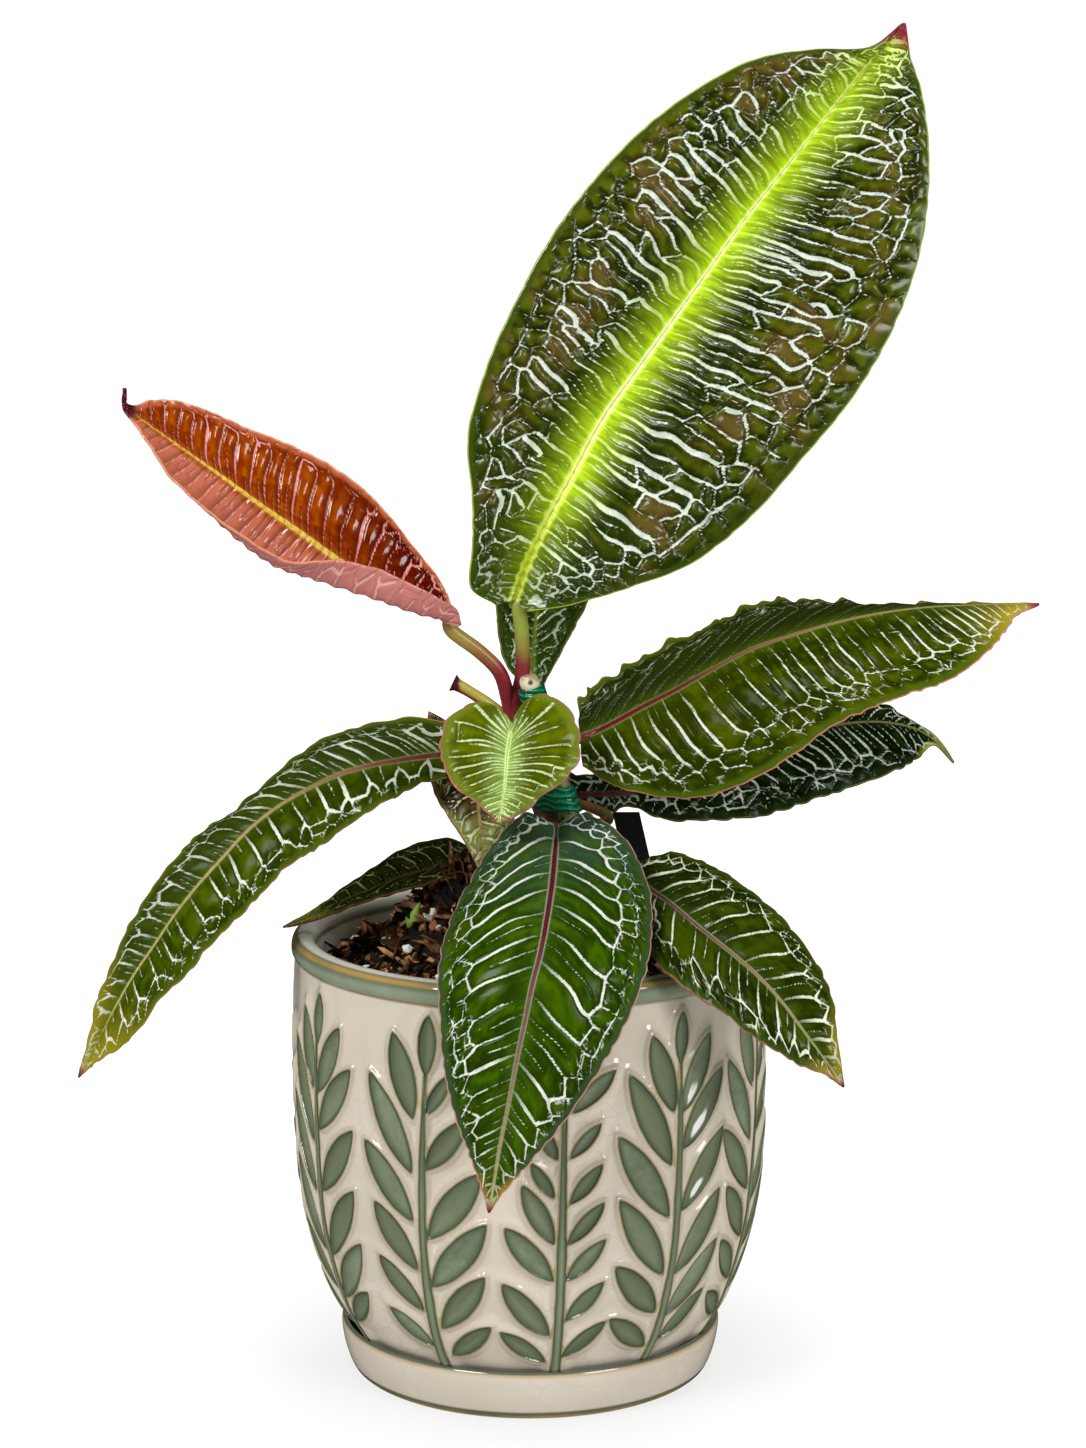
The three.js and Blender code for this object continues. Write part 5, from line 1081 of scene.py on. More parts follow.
        16.2, 25.2, 31.9, 41.3, 49.3, 60.7, 68, 75.4, 85, 91), (8, 18, 27.1, 39.1, 50.5, 58.9, 66.2, 75.4, 83,
        90)), "reach": 0.63, "fade": 0.92, "split": 0.0, "cells": 5.4, "rowStep": 0.18, "warp": 0.3,
        "ragged": 0.14, "veinWide": 0.85, "thinWide": 0.38,
        "bulge": 0.4, "pillow": 2.6, "gloss": 0.15, "shine": 0.2, "depth": 0.55, "deep": "#1f2e06",
        "fresh": "#44590f", "head": "#22300a", "headShare": 0.6, "bronze": "#54661a", "margin": "#33450c",
        "marginWide": 3.0, "edge": "#8a5a44", "vein": "#cfd3bd", "veinNear": "#9ba085", "veinStart": 0.45,
        "spur": 0.45, "paintedGlow": "#4a6014", "glowWide": 5.0, "glowPower": 0.3, "tip": "#8a7c16", "tipFrom": 0.84,
        "tipWide": 0.14, "point": "#6a1428", "pointFrom": 0.965,
        "ribRamp": [(0.0, "#4c1420"), (0.4, "#6c403a"), (1.0, "#a09650")], "ribWide": 0.85,
        "ribEdge": "#8e9a80", "under": "#5f7338", "underVein": "#8a9a66",
    },
    "leaf_left": {
        "stalk": ("#5a3a2c", "#7a2a34"), "seed": 97, "grid": 0.66, "lift": ([0.1], [0.08]), "rib": 1.2,
        "foot": 1.8, "tooth": 0.6, "toothPitch": 6.5, "curl": 0.12,
        "pitch": (8.2, 6.2), "slope": ([0.1, -0.35, -0.42, -0.4, -0.35, -0.3], [0.8, -0.1, -0.2, -0.1, 0]),
        "starts": ((7, 15.7, 28.8, 35.6, 43, 50.9, 61.2, 69.4, 77.5, 86, 95, 103, 110, 116.6, 126.4, 134),
        ()), "fade": 0.93, "split": 0.0, "cells": 5.0, "rowStep": 0.17, "warp": 0.35, "ragged": 0.15,
        "veinWide": 0.85, "thinWide": 0.42,
        "bulge": 0.28, "pillow": 2.6, "gloss": 0.14, "shine": 0.04, "depth": 0.62, "deep": "#2f3f08",
        # its upper half is dimmed: painted shade
        "fresh": "#516616", "head": "#2c3a12", "headShare": 0.7, "bronze": "#5a6c1c", "dim": "#2c3810",
        "dimSide": 1, "dimShare": 0.55, "dimVein": 0.55, "margin": "#435612", "marginWide": 2.5,
        "edge": "#8a6a3c", "vein": "#cfd4c3", "veinNear": "#a8ad90", "veinStart": 0.5, "spur": 0.35,
        "paintedGlow": "#556c18", "glowWide": 5.0, "glowPower": 0.3, "tip": "#8d8414", "tipFrom": 0.74,
        "tipWide": 0.24, "point": "#6a2028", "pointFrom": 0.96,
        "ribRamp": [(0.0, "#561422"), (0.15, "#6e4238"), (0.4, "#94855c"), (1.0, "#a8a058")], "ribWide": 0.85,
        "ribEdge": "#7a7a48", "under": "#5f7338", "underVein": "#8a9a66",
    },
    "leaf_left_low": {
        "stalk": ("#5a3a2c", "#6a3a30"), "seed": 101, "grid": 0.66, "lift": ([0.06], [0.1]), "rib": 0.8,
        "foot": 1.4, "tooth": 0.35, "toothPitch": 5.0, "curl": 0.22,
        "pitch": 6.6, "slope": ([0.6, 0.3], [0.6, 0.3]), "fade": 0.9, "split": 0.1, "cells": 4.6, "warp": 0.5,
        "ragged": 0.18, "veinWide": 0.6, "thinWide": 0.25,
        "bulge": 0.6, "pillow": 2.4, "furrow": 0.5, "gloss": 0.16, "depth": 0.68, "deep": "#222b08",
        "fresh": "#46521a", "head": "#191f07", "headShare": 0.7, "bronze": "#332e14", "margin": "#2a3a0e",
        "marginWide": 2.5, "edge": "#6a4428", "vein": "#8b9668", "veinNear": "#6a7048", "veinStart": 0.8,
        "spur": 0.3, "paintedGlow": "#333f12", "glowWide": 4.0, "glowPower": 0.2, "tip": "#7a8a1c", "tipFrom": 0.72,
        "tipWide": 0.15, "point": "#5a1a20", "pointFrom": 0.98,
        "ribRamp": [(0.0, "#5e3026"), (1.0, "#6a5a34")], "ribWide": 0.7, "ribEdge": "#5a5230",
        "under": "#5f7340", "underVein": "#8a9a6a",
    },
    "leaf_old": {
        "slot": "leaf_old", "stalk": ("#8a5a34", "#6a3a24"), "seed": 113, "grid": 0.6, "lift": ([0.1], [0.1]),
        "rib": 0.8, "foot": 1.4, "tooth": 0.2, "toothPitch": 5.0, "curl": 0.2,
        "pitch": 6.0, "slope": ([0.5], [0.5]), "fade": 0.9, "split": 0.1, "cells": 5.0, "warp": 0.8,
        "ragged": 0.4, "veinWide": 0.8, "thinWide": 0.3,
        "bulge": 0.6, "pillow": 2.4, "furrow": 0.5, "gloss": 0.34, "depth": 0.62, "deep": "#2c1e08",
        "fresh": "#7d6a34", "head": "#3a2410", "headShare": 1.0, "bronze": "#2f2010", "bronzeShare": 0.7,
        "margin": "#6a5028", "marginWide": 2.0, "edge": "#7a4430", "vein": "#b3b886", "veinNear": "#a8a070",
        "veinStart": 0.8, "spur": 0.5, "paintedGlow": "#8a7440", "glowWide": 3.0, "glowPower": 0.2, "tip": "#7a8038",
        "tipFrom": 0.55, "tipWide": 0.2, "point": "#5a3a20", "pointFrom": 0.995,
        "ribRamp": [(0.0, "#7a4e2c"), (1.0, "#8a7a4a")], "ribWide": 0.7, "ribEdge": "#8a7440",
        "under": "#7a6a3c", "underVein": "#98895c",
    },
}


def leafVeins(along, across, look, side, arc, half, random):
    # signed distance to the nearest vein in millimetres, a tone for each cell, how fully it puffs up, and the
    # place on the midrib where its side vein would start
    number = 0 if side < 0 else 1
    pitch, veinWide = (np.broadcast_to(look[key], 2)[number] for key in ("pitch", "veinWide"))
    slopes, starts = look["slope"][number], [-pitch * 0.6, *look["starts"][number]]
    length = arc[-1]

    def widthAt(s):
        return np.interp(s, arc, half)

    def slopeAt(s):
        return np.interp(s, np.linspace(0, length, len(slopes)), slopes)

    # the side veins' starts on the midrib, closer at the blade's base and tip
    while starts[-1] < length:
        taper = 0.5 + 0.5 * np.interp(starts[-1] / length, [0, 0.12, 0.75, 1], [0.55, 1, 0.9, 0.3])
        starts.append(starts[-1] + pitch * taper * (0.72 + 0.56 * random.random()))
    starts = np.array(starts)
    # seeds run outwards between two side veins, and those of one cell share its number
    seedsAlong, seedsAcross, seedId, seedBand = [], [], [], []
    cell = 0
    for low, high in zip(starts[:-1], starts[1:]):
        cell += 1
        reach = look["reach"] * (0.9 + 0.2 * random.random())
        breaks = look["reach"] * (0.35 + 0.5 * random.random()) if random.random() < look["split"] else 9
        x = shift = turn = since = 0.0
        while True:
            middle, slope = (low + high) / 2, slopeAt((low + high) / 2)
            share = x / max(widthAt(min(max(middle + slope * x, 0), length)), 0.5)
            if share > reach:
                break
            if share > breaks:
                cell += 1
                breaks = share + look["reach"] * (0.2 + 0.3 * random.random()) if look["split"] > 0.5 else 9
                shift, turn, since = pitch * 0.5 * (random.random() - 0.5), 0.5 * (random.random() - 0.5), x
            bent = look["curl"] * widthAt(middle) * share ** 3
            seedsAlong.append(middle + slope * x + bent + shift + turn * (x - since))
            seedsAcross.append(x)
            seedId.append(cell)
            seedBand.append(low)
            x += 0.9
    # rows of small cells between the side veins' ends and the edge
    rowShares = np.arange(look["reach"] + look["rowStep"] * 0.75, 1.06, look["rowStep"])
    for order, row in enumerate(rowShares):
        s = -4.0
        while s < length + 4:
            width = widthAt(min(max(s, 0), length))
            if width * look["rowStep"] < 2.7 and order % 2:
                s += 2.0
                continue
            cell += 1
            step = look["cells"] * (0.6 + 0.5 * min(1, width / 22)) * (0.55 + 0.9 * random.random())
            seedsAlong.append(s + step / 2)
            seedsAcross.append((row + look["rowStep"] * 0.6 * (random.random() - 0.5)) * width)
            seedId.append(cell)
            seedBand.append(-1000 - cell)
            s += step
    seedsAlong, seedsAcross, seedId, seedBand = map(np.array, (seedsAlong, seedsAcross, seedId, seedBand))
    # the net is bent by a few slow waves
    waves = [(random.uniform(0.12, 0.5), random.uniform(0.12, 0.5), random.uniform(0, 6.3)) for _ in range(5)]
    bend = sum(np.sin(a * along + b * across + c) for a, b, c in waves) * look["warp"] * 0.4
    sway = sum(np.sin(b * along - a * across + 2 * c) for a, b, c in waves) * look["warp"] * 0.3
    s, x = (along + bend).ravel(), (across + sway * np.clip(across / 6, 0, 1)).ravel()
    gap, tone, wide, link = (np.zeros(len(s)) for _ in range(4))
    idTone, idWide = random.random(cell + 2), random.random(cell + 2)
    chunk = 3000  # points worked out at a time
    for start in range(0, len(s), chunk):
        part = slice(start, start + chunk)
        distance = (s[part, None] - seedsAlong) ** 2 + (x[part, None] - seedsAcross) ** 2
        first = distance.argmin(1)
        rows = np.arange(len(first))
        near = distance[rows, first]
        distance[seedId[None, :] == seedId[first][:, None]] = 1e9
        second = distance.argmin(1)
        apart = np.hypot(seedsAlong[first] - seedsAlong[second], seedsAcross[first] - seedsAcross[second])
        gap[part] = (distance[rows, second] - near) / (2 * apart + 1e-6)
        tone[part] = idTone[seedId[first]]
        wide[part] = idWide[np.minimum(seedId[first], seedId[second])]
        link[part] = seedBand[first] == seedBand[second]
    share = (across / np.maximum(widthAt(np.clip(along, 0, length)), 0.5)).ravel()
    fade = look["fade"]
    outer = look["reach"]
    profile = np.interp(share, [0, 0.08, 0.3, outer - 0.04, outer + 0.06, fade - 0.05, fade + 0.05],
                        [0.5, 0.7, 1.0, 1.0, look["netWide"], look["netWide"] * 0.8, -0.7])
    profile -= np.clip((share - fade + 0.12) * 8, 0, 1) * (wide < 0.4) * 1.2
    least, spread = look["spread"]
    thick = veinWide / 2 * profile * (least + spread * wide) * (1 - 0.45 * link)
    vein = gap - thick
    # thinner veins between the side veins, fading halfway out
    bent = look["curl"] * widthAt(np.clip(s, 0, length)) * np.clip(share, 0, 1) ** 3
    phase = s - slopeAt(s - slopeAt(s) * x) * x - bent
    band = np.clip(np.searchsorted(starts, phase) - 1, 0, len(starts) - 2)
    ends = 0.22 + 0.42 * random.random(len(starts))
    offset = 0.5 + 0.14 * (random.random(len(starts)) - 0.5)
    centre = starts[band] + (starts[band + 1] - starts[band]) * offset[band]
    left = 1 - share / ends[band]
    shown = (left > 0) & (random.random(len(starts)) < 0.8)[band]
    line = np.abs(phase - centre) * 0.85 - look["thinWide"] / 2 * np.clip(left * 3, 0, 1)
    thin = np.where(shown, np.minimum(3.0, line), 3.0)
    puff = 1 - np.exp(-(np.clip(gap, 0, None) / look["pillow"]) ** 1.3)
    puff = puff * np.clip((1 - share) * 6, 0, 1) * np.clip(share * 9, 0, 1)
    return [made.reshape(along.shape) for made in (np.minimum(vein, thin), tone, puff, phase)]


def toothedEdge(arc, look, side, random):
    # uneven blunt teeth that lean towards the tip, and the edge's rise and fall
    size = float(np.broadcast_to(look["tooth"], 2)[0 if side < 0 else 1])
    marks, heights = [0.0], [0.0]
    while marks[-1] < arc[-1]:
        marks.append(marks[-1] + look["toothPitch"] * (0.55 + 0.9 * random.random()))
        heights.append(size * (0.35 + 0.9 * random.random()))
    i = np.clip(np.searchsorted(marks, arc, side="right") - 1, 0, len(marks) - 2)
    phase = (arc - np.array(marks)[i]) / (np.array(marks)[i + 1] - np.array(marks)[i])
    lean, sharp = look["spike"]
    tooth = (np.sin(math.pi * phase ** lean) ** sharp - 0.5) * np.array(heights)[i + 1]
    a, b, c = random.uniform(0, 6.3, 3)
    pace = 2 * math.pi / look["toothPitch"]
    ripple = sum(tall * np.sin(arc * pace * often + begin)
                 for tall, often, begin in ((0.5, 0.55, a), (0.35, 0.9, b), (0.3, 0.23, c)))
    return tooth, ripple * size


def bladeTree():
    # puffs the blade up between its veins, then gives the sheet its thickness and keel
    tree, group, final = newTree("puffedBlade", [
        ("Bulge", "Float"), ("Thickness", "Float"), ("Material", "Material")])
    puff = addNode(tree, "GeometryNodeInputNamedAttribute", {0: "puff"}, data_type="FLOAT")
    keel = addNode(tree, "GeometryNodeInputNamedAttribute", {0: "keel"}, data_type="FLOAT")
    upward = addNode(tree, "GeometryNodeInputNamedAttribute", {0: "upward"}, data_type="FLOAT_VECTOR")
    height = addNode(tree, "ShaderNodeMath", [puff, group.outputs["Bulge"]], operation="MULTIPLY")
    offset = addNode(tree, "ShaderNodeVectorMath", {0: upward, 3: height}, operation="SCALE")
    sheet = addNode(tree, "GeometryNodeSetPosition", {0: group.outputs[0], "Offset": offset})
    deep = addNode(tree, "ShaderNodeMath", [keel, group.outputs["Thickness"]], operation="ADD")
    deep = addNode(tree, "ShaderNodeMath", [deep, -1.0], operation="MULTIPLY")
    lower = addNode(tree, "GeometryNodeExtrudeMesh",
                    {0: sheet, "Offset": upward, "Offset Scale": deep, "Individual": False}, mode="FACES")
    faces = lower.node.outputs["Top"]
    lower = addNode(tree, "GeometryNodeStoreNamedAttribute", {0: lower, 2: "underside", 3: faces},
                    data_type="FLOAT", domain="FACE")
    lower = addNode(tree, "GeometryNodeFlipFaces", [lower])
    both = addNode(tree, "GeometryNodeJoinGeometry")
    tree.links.new(lower, both.node.inputs[0])
    tree.links.new(sheet, both.node.inputs[0])
    both = addNode(tree, "GeometryNodeMergeByDistance", {0: both, "Distance": 1e-6})
    both = addNode(tree, "GeometryNodeSetShadeSmooth", {0: both})
    endTree(tree, group, final, both)
    return tree


def leafMaterial(name, look):
    # living leaf: waxy skin over green tissue, so soft wide highlights on the puffed cells and paler veins
    material, tree = newMaterial(name)
    vein, tone, under = (addNode(tree, "ShaderNodeAttribute", out=2, attribute_name=label)
                         for label in ("vein", "cellTone", "underside"))
    place, grain = (addNode(tree, "ShaderNodeAttribute", out=1, attribute_name=label)
                    for label in ("leafPlace", "leafGrain"))
    along, outward, margin = (addNode(tree, "ShaderNodeSeparateXYZ", [place], out=k) for k in range(3))
    across = addNode(tree, "ShaderNodeSeparateXYZ", [grain], out=1)
    ribGap = addNode(tree, "ShaderNodeMath", [across], operation="ABSOLUTE")
    # ragged vein edges: a noise about 1 mm across pushes the edge in and out
    fray = addNode(tree, "ShaderNodeTexNoise", {"Vector": grain, "Scale": 1.1, "Detail": 3.0, "Roughness": 0.6})
    fray = addNode(tree, "ShaderNodeMapRange", [fray, 0.25, 0.75, -look["ragged"], look["ragged"]])
    frayed = addNode(tree, "ShaderNodeMath", [vein, fray], operation="ADD")
    # streaks run with the side veins, 1.5 mm wide and 12 mm long
    squeezed = addNode(tree, "ShaderNodeVectorMath", [grain, (0.5, 0.085, 1.0)], operation="MULTIPLY")
    streak = addNode(tree, "ShaderNodeTexNoise",
                     {"Vector": squeezed, "Scale": 1.0, "Detail": 3.0, "Roughness": 0.55})
    patch = addNode(tree, "ShaderNodeTexNoise", {"Vector": grain, "Scale": 0.075, "Detail": 2.0})
    mottle = addNode(tree, "ShaderNodeTexNoise", {"Vector": grain, "Scale": 0.3, "Detail": 3.0})
    # spurs branch off the veins into the outer cells, and a few little white dots lie in the cells
    spurs = addNode(tree, "ShaderNodeTexVoronoi", {"Vector": grain, "Scale": 0.3}, feature="DISTANCE_TO_EDGE")
    dots = addNode(tree, "ShaderNodeTexVoronoi", {"Vector": grain, "Scale": 0.27, "Randomness": 1.0})
    turned = addNode(tree, "ShaderNodeMath", [across, look["dimSide"]], operation="MULTIPLY")
    headPlace = addNode(tree, "ShaderNodeMath", [patch, 0.35, along], operation="MULTIPLY_ADD")
    # shares that ease in or out: what is read, where the easing starts and ends, and the share there
    eases = {
        "veins": (frayed, 0.1, -0.1, 0.0, 1.0), "veinsOut": (outward, 0.0, 0.4, look["veinStart"], 1.0),
        "crust": (mottle, 0.35, 0.6, 0.72, 1.0), "veinsAtFoot": (along, 0.02, 0.1, look["footVein"], 1.0),
        "nearRib": (ribGap, look["glowWide"] * 1.3, 0.0, 0.0, 1.0),
        # furrow: darker near the veins, a painted shade in the furrows between the puffed cells
        "furrow": (vein, 0.0, look["pillow"] * 1.4, -0.22, 0.1), "crease": (vein, -0.3, 0.9, 0.0, 1.0),
        "head": (headPlace, 0.62, 0.18, 0.0, look["headShare"]),
        "bronze": (patch, 0.42, 0.62, 0.0, 1.0), "bronzeCells": (tone, 0.2, 0.8, 0.3, 1.0),
        "bronzeOut": (outward, look["bronzeFrom"], look["bronzeFrom"] + 0.25, 0.0, 1.0),
        "bronzeAtFoot": (along, 0.02, 0.2, look["bronzeFoot"], 1.0),
        "dim": (turned, 0.3, 2.5, 0.0, look["dimShare"]),
        "margin": (margin, look["marginWide"], look["marginWide"] * 0.4, 0.0, 0.8),
        "edge": (margin, 0.6, 0.25, 0.0, 1.0), "ribTaper": (along, 0.0, 1.0, 1.0, 2.2),
        "glowAlong": (along, 1.0, 0.8, 0.2, look["glowPower"]), "glowStreak": (streak, 0.35, 0.65, 0.7, 1.25),
        "glowAtFoot": (along, 0.02, 0.22, look["glowFoot"], 1.0), "tipBow": (outward, 0.0, 1.0, -0.04, 0.06),
        "point": (along, look["pointFrom"], look["pointFrom"] + 0.035, 0.0, 1.0),
        "spurs": (spurs, 0.065, 0.03, 0.0, 1.0), "spursNear": (vein, 1.5, 0.6, 0.0, look["spur"]),
        "spursOut": (outward, look["spurFrom"], look["spurFrom"] + 0.15, 0.0, 1.0),
        "spurPatches": (mottle, 0.5, 0.56, 0.0, 1.0), "spursInside": (margin, 1.5, 3.0, 0.0, 1.0),
        "dots": (dots, 0.07, 0.045, 0.0, 1.0), "dotPatches": (mottle, 0.52, 0.62, 0.0, 0.7),
    }
    share = {label: addNode(tree, "ShaderNodeMapRange", values, interpolation_type="SMOOTHSTEP")
             for label, values in eases.items()}
    # fresh green on top of each puffed cell and deep green in the furrows along the veins: the furrows'
    # darkness is painted shade that follows the relief, mixed with streaks, mottle and each cell's own tone
    lightness = addNode(tree, "ShaderNodeMath", [streak, 0.45, mottle], operation="MULTIPLY_ADD")
    lightness = addNode(tree, "ShaderNodeMath", [tone, 0.16, lightness], operation="MULTIPLY_ADD")
    lightness = addNode(tree, "ShaderNodeMath", [share["furrow"], lightness], operation="ADD")
    tipPlace = addNode(tree, "ShaderNodeMath", [share["tipBow"], along], operation="ADD")
    tipEnd = look["tipFrom"] + look["tipWide"]
    share["tip"] = addNode(tree, "ShaderNodeMapRange", [tipPlace, look["tipFrom"], tipEnd, 0.0, 0.85],
                           interpolation_type="SMOOTHSTEP")
    ribPlace = addNode(tree, "ShaderNodeMath", [ribGap, share["ribTaper"]], operation="MULTIPLY")
    later = {
        "fresh": (lightness, 0.5, 1.05, 0.0, 1.0), "veinsInTip": (share["tip"], 0.3, 1.0, 1.0, 0.75),
        "veinsInDim": (share["dim"], 0.0, 1.0, 1.0, look["dimVein"]),
        "rib": (ribPlace, look["ribWide"] * 1.15, look["ribWide"] * 0.75, 0.0, 1.0),
        # besideRib: a pale band along each side of the midrib, a painted highlight on the raised rib's flanks
        "besideRib": (ribPlace, look["ribWide"] * 1.9, look["ribWide"] * 1.1, 0.0, 0.6),
        # groove: a darker line down the midrib, painted shade in its groove
        "groove": (ribPlace, 0.6, 0.25, 0.0, look["groove"][0]),
    }
    for label, values in later.items():
        share[label] = addNode(tree, "ShaderNodeMapRange", values, interpolation_type="SMOOTHSTEP")
    # products: bronze patches, the glow along the midrib, which is painted light shining through the blade, and
    # the strength of veins, spurs and dots
    paintedGlow = addNode(tree, "ShaderNodeMapRange", [ribGap, look["glowWide"], 0.0, 0.0, 1.0])
    paintedGlow = addNode(tree, "ShaderNodeMath", [paintedGlow, 1.6], operation="POWER")
    products = {
        "bronze": [share["bronze"], look["bronzeShare"], share["bronzeCells"], share["bronzeOut"],
                   share["bronzeAtFoot"]],
        "paintedGlow": [paintedGlow, share["glowAlong"], share["glowAtFoot"]],
        "nearRib": [share["nearRib"], share["glowAtFoot"]],
        "veinColour": [share["veins"], share["veinsOut"], share["crust"], share["veinsAtFoot"],
                       share["veinsInTip"], share["veinsInDim"]],
        "spurs": [share["spurs"], share["spursNear"], share["spursOut"], share["spurPatches"],
                  share["spursInside"]],
        "dots": [share["dots"], share["dotPatches"]],
        "veinsBelow": [share["veins"], 0.7],
    }
    for label, (product, *factors) in products.items():
        for factor in factors:
            product = addNode(tree, "ShaderNodeMath", [product, factor], operation="MULTIPLY")
        share[label] = product
    share["paintedGlow"] = addNode(tree, "ShaderNodeMath", [share["paintedGlow"], share["glowStreak"]],
                            operation="MULTIPLY", use_clamp=True)
    # veins are grey-green by the midrib, whiter and crusted further out
    veinColour = addNode(tree, "ShaderNodeMix", {0: share["nearRib"], 6: look["vein"], 7: look["veinNear"]},
                         out=2, data_type="RGBA")
    ribColour = addNode(tree, "ShaderNodeValToRGB", [along], stops=look["ribRamp"])
    colour, below = look["deep"], look["under"]
    for layer, paint in (("fresh", look["fresh"]), ("head", look["head"]), ("bronze", look["bronze"])):
        colour = addNode(tree, "ShaderNodeMix", {0: share[layer], 6: colour, 7: paint}, out=2, data_type="RGBA")
    colour = addNode(tree, "ShaderNodeHueSaturation",
                     {"Saturation": 1.25, "Value": look["depth"], "Color": colour})
    layers = (("dim", look["dim"]), ("margin", look["margin"]), ("paintedGlow", look["paintedGlow"]), ("tip", look["tip"]),
              ("veinColour", veinColour), ("spurs", look["vein"]), ("dots", look["vein"]),
              ("besideRib", look["ribEdge"]), ("rib", ribColour), ("groove", look["groove"][1]),
              ("edge", look["edge"]), ("point", look["point"]))
    for layer, paint in layers:
        colour = addNode(tree, "ShaderNodeMix", {0: share[layer], 6: colour, 7: paint}, out=2, data_type="RGBA")
    for layer in ("veinsBelow", "rib"):
        below = addNode(tree, "ShaderNodeMix", {0: share[layer], 6: below, 7: look["underVein"]}, out=2,
                        data_type="RGBA")
    colour = addNode(tree, "ShaderNodeMix", {0: under, 6: colour, 7: below}, out=2, data_type="RGBA")
    rough = addNode(tree, "ShaderNodeMapRange", [mottle, 0.3, 0.7, look["gloss"], look["gloss"] + 0.08])
    relief = addNode(tree, "ShaderNodeMath", [streak, look["streak"], share["crease"]],
                     operation="MULTIPLY_ADD")
    bump = addNode(tree, "ShaderNodeBump", {"Strength": 1.0, "Distance": look["furrow"] * mm, "Height": relief})
    closeMaterial(tree, {"Base Color": colour, "Roughness": rough, "IOR": 1.45, "Normal": bump,
                         "Specular IOR Level": look["shine"]})
    return material


def stalkMaterial(name, colour, flush, foot, length):
    # leaf stalk: smooth waxy skin, green by the blade with a red flush that deepens toward its foot
    material, tree = newMaterial(name)
    place = addNode(tree, "ShaderNodeTexCoord", out=3)
    noise = addNode(tree, "ShaderNodeTexNoise", {"Vector": place, "Scale": 110.0, "Detail": 3.0})
    reach = addNode(tree, "ShaderNodeVectorMath", [place, foot], out=1, operation="DISTANCE")
    reach = addNode(tree, "ShaderNodeMath", [noise, 0.4 * length, reach], operation="MULTIPLY_ADD")
    share = addNode(tree, "ShaderNodeMapRange", [reach, 0.95 * length, 0.6 * length, 0.0, 1.0])
    base = addNode(tree, "ShaderNodeMix", {0: share, 6: colour, 7: flush}, out=2, data_type="RGBA")
    bump = addNode(tree, "ShaderNodeBump", {"Strength": 0.3, "Distance": 0.0005, "Height": noise})
    closeMaterial(tree, {"Base Color": base, "Roughness": 0.35, "IOR": 1.45, "Normal": bump})
    return material


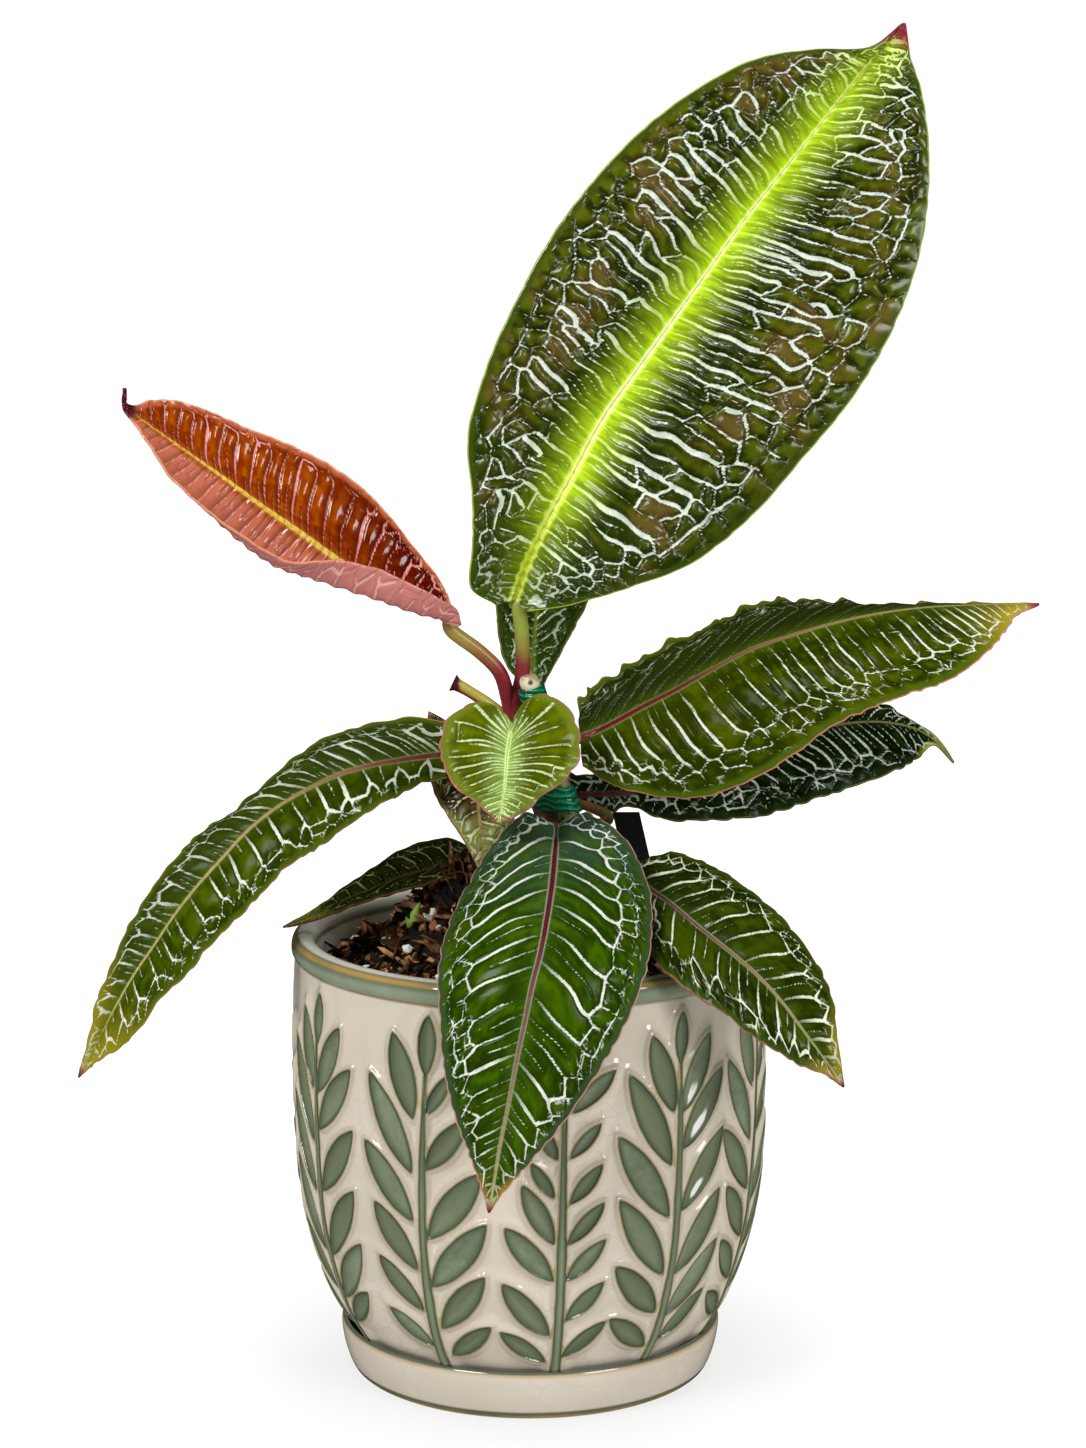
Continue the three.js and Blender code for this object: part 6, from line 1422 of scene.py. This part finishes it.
def buildLeaf(name, look, blades, bars):
    random = np.random.default_rng(look["seed"])
    rows = leafRows(leafPoints[name])
    rib, edges = rows[:, :3], (rows[:, 3:6], rows[:, 6:9])
    fine = np.linspace(0, 1, 500)
    run = np.linalg.norm(np.diff(curveAt(rib, fine), axis=0), axis=1)
    arcFine = np.concatenate([[0], np.cumsum(run)])
    length = arcFine[-1]
    count = int(length / look["grid"]) + 1
    arc = np.linspace(0, length, count)
    share = np.interp(arc, arcFine, fine)
    middle = curveAt(rib, share)
    forward = curveAt(rib, np.minimum(share + 1e-3, 1)) - curveAt(rib, np.maximum(share - 1e-3, 0))
    forward /= np.linalg.norm(forward, axis=1)[:, None]
    sheets = {}
    for side, edge, lift in zip((-1, 1), edges, look["lift"]):
        toEdge = curveAt(edge, share) - middle
        half = np.linalg.norm(toEdge, axis=1)
        outward = toEdge / half[:, None]
        normal = np.cross(outward, forward) * side
        normal /= np.linalg.norm(normal, axis=1)[:, None] + 1e-9
        columns = int(half.max() / look["grid"]) + 1
        q = np.linspace(0, 1, columns + 1)
        tooth, ripple = toothedEdge(arc, look, side, random)
        ease = np.minimum(1, half / 8)
        rise = readAlong(lift, share) * half
        reached = half[:, None] * q + tooth[:, None] * ease[:, None] * q ** 6
        raised = rise[:, None] * 4 * q * (1 - q) + (ripple * ease)[:, None] * q ** 3
        point = middle[:, None] + outward[:, None] * reached[..., None] + normal[:, None] * raised[..., None]
        alongGrid = np.repeat(arc[:, None], columns + 1, 1)
        acrossGrid = half[:, None] * q
        vein, tone, puff, phase = leafVeins(alongGrid, acrossGrid, look, side, arc, half, random)
        ends = np.clip(np.minimum(arc / 8, (length - arc) / 12), 0, 1)[:, None]
        place = np.stack([alongGrid / length, np.repeat(q[None], count, 0), half[:, None] * (1 - q)], -1)
        grain = np.stack([phase, side * acrossGrid, np.full_like(phase, side * 31.0 + look["seed"])], -1)
        sheets[side] = [point, vein, tone, puff * ends, place, grain]
    # the two halves become one sheet, whose middle column is the midrib
    point, vein, tone, puff, place, grain = (np.concatenate([left[:, :0:-1], right], 1)
                                             for left, right in zip(*sheets.values()))
    ribColumn, columns = sheets[-1][0].shape[1] - 1, point.shape[1]
    ahead = np.gradient(point, axis=0)
    aside = np.gradient(point, axis=1)
    upward = np.cross(aside, ahead)
    upward /= np.linalg.norm(upward, axis=2)[..., None] + 1e-9
    ribGap = np.abs(grain[..., 1])
    ribSize = np.interp(share, [0, 1], [look["rib"], 0.2])[:, None]
    keel = ribSize * 1.3 * np.exp(-(ribGap / (ribSize * 1.2 + 0.3)) ** 2) * mm
    ridge = 0.35 * ribSize * np.exp(-(ribGap / (ribSize * 0.8 + 0.2)) ** 2)
    point = point + upward * ridge[..., None]
    blade = newMesh(name + "_blade", point.reshape(-1, 3), gridFaces(count, columns),
                    {"vein": vein, "cellTone": tone, "puff": puff, "keel": keel},
                    {"leafPlace": place, "leafGrain": grain, "upward": upward})
    grow(blade, blades, {"Bulge": look["bulge"] * mm, "Thickness": 0.7 * mm,
                         "Material": leafMaterial(name + "_skin", look)})
    # the stalk runs on under the midrib, whose first rows it follows
    stalk = [onSight(*chosen) for chosen in leafPoints[name]["stalk"]]
    inside = [point[i, ribColumn] - upward[i, ribColumn] * look["tuck"] for i in (1, 6, 14)]
    path = curveAt([*stalk[:-1], *inside], np.linspace(0, 1, 40))
    taper = [look["foot"]] * (len(stalk) - 1) + [look["rib"] * part for part in (1.15, 1, 0.5)]
    thickness = readAlong(taper, np.linspace(0, 1, 40))
    bar = pathMesh(name + "_stalk", [(path, thickness)])
    reach = np.linalg.norm(np.subtract(stalk[-1], stalk[0])) * mm
    foot = tuple(v * mm for v in stalk[0])
    grow(bar, bars, {"Sides": 14, "Material": stalkMaterial(name + "_stalkSkin", *look["stalk"], foot, reach)})
    leaf = joined(name + "_leaf", [blade, bar])
    keepInside(leaf)
    settle(leaf, name)
    print(name, len(leaf.data.polygons), "faces")


buildStudio()
glaze = glazeMaterial()
buildPot(glaze)
buildSaucer(glaze)
bars = pathTree()
buildStem(bars)
buildSmall()
buildSoil(bars)
blades = bladeTree()
for leafName, leafLook in leafLooks.items():
    buildLeaf(leafName, {**usualLook, **leafLook}, blades, bars)
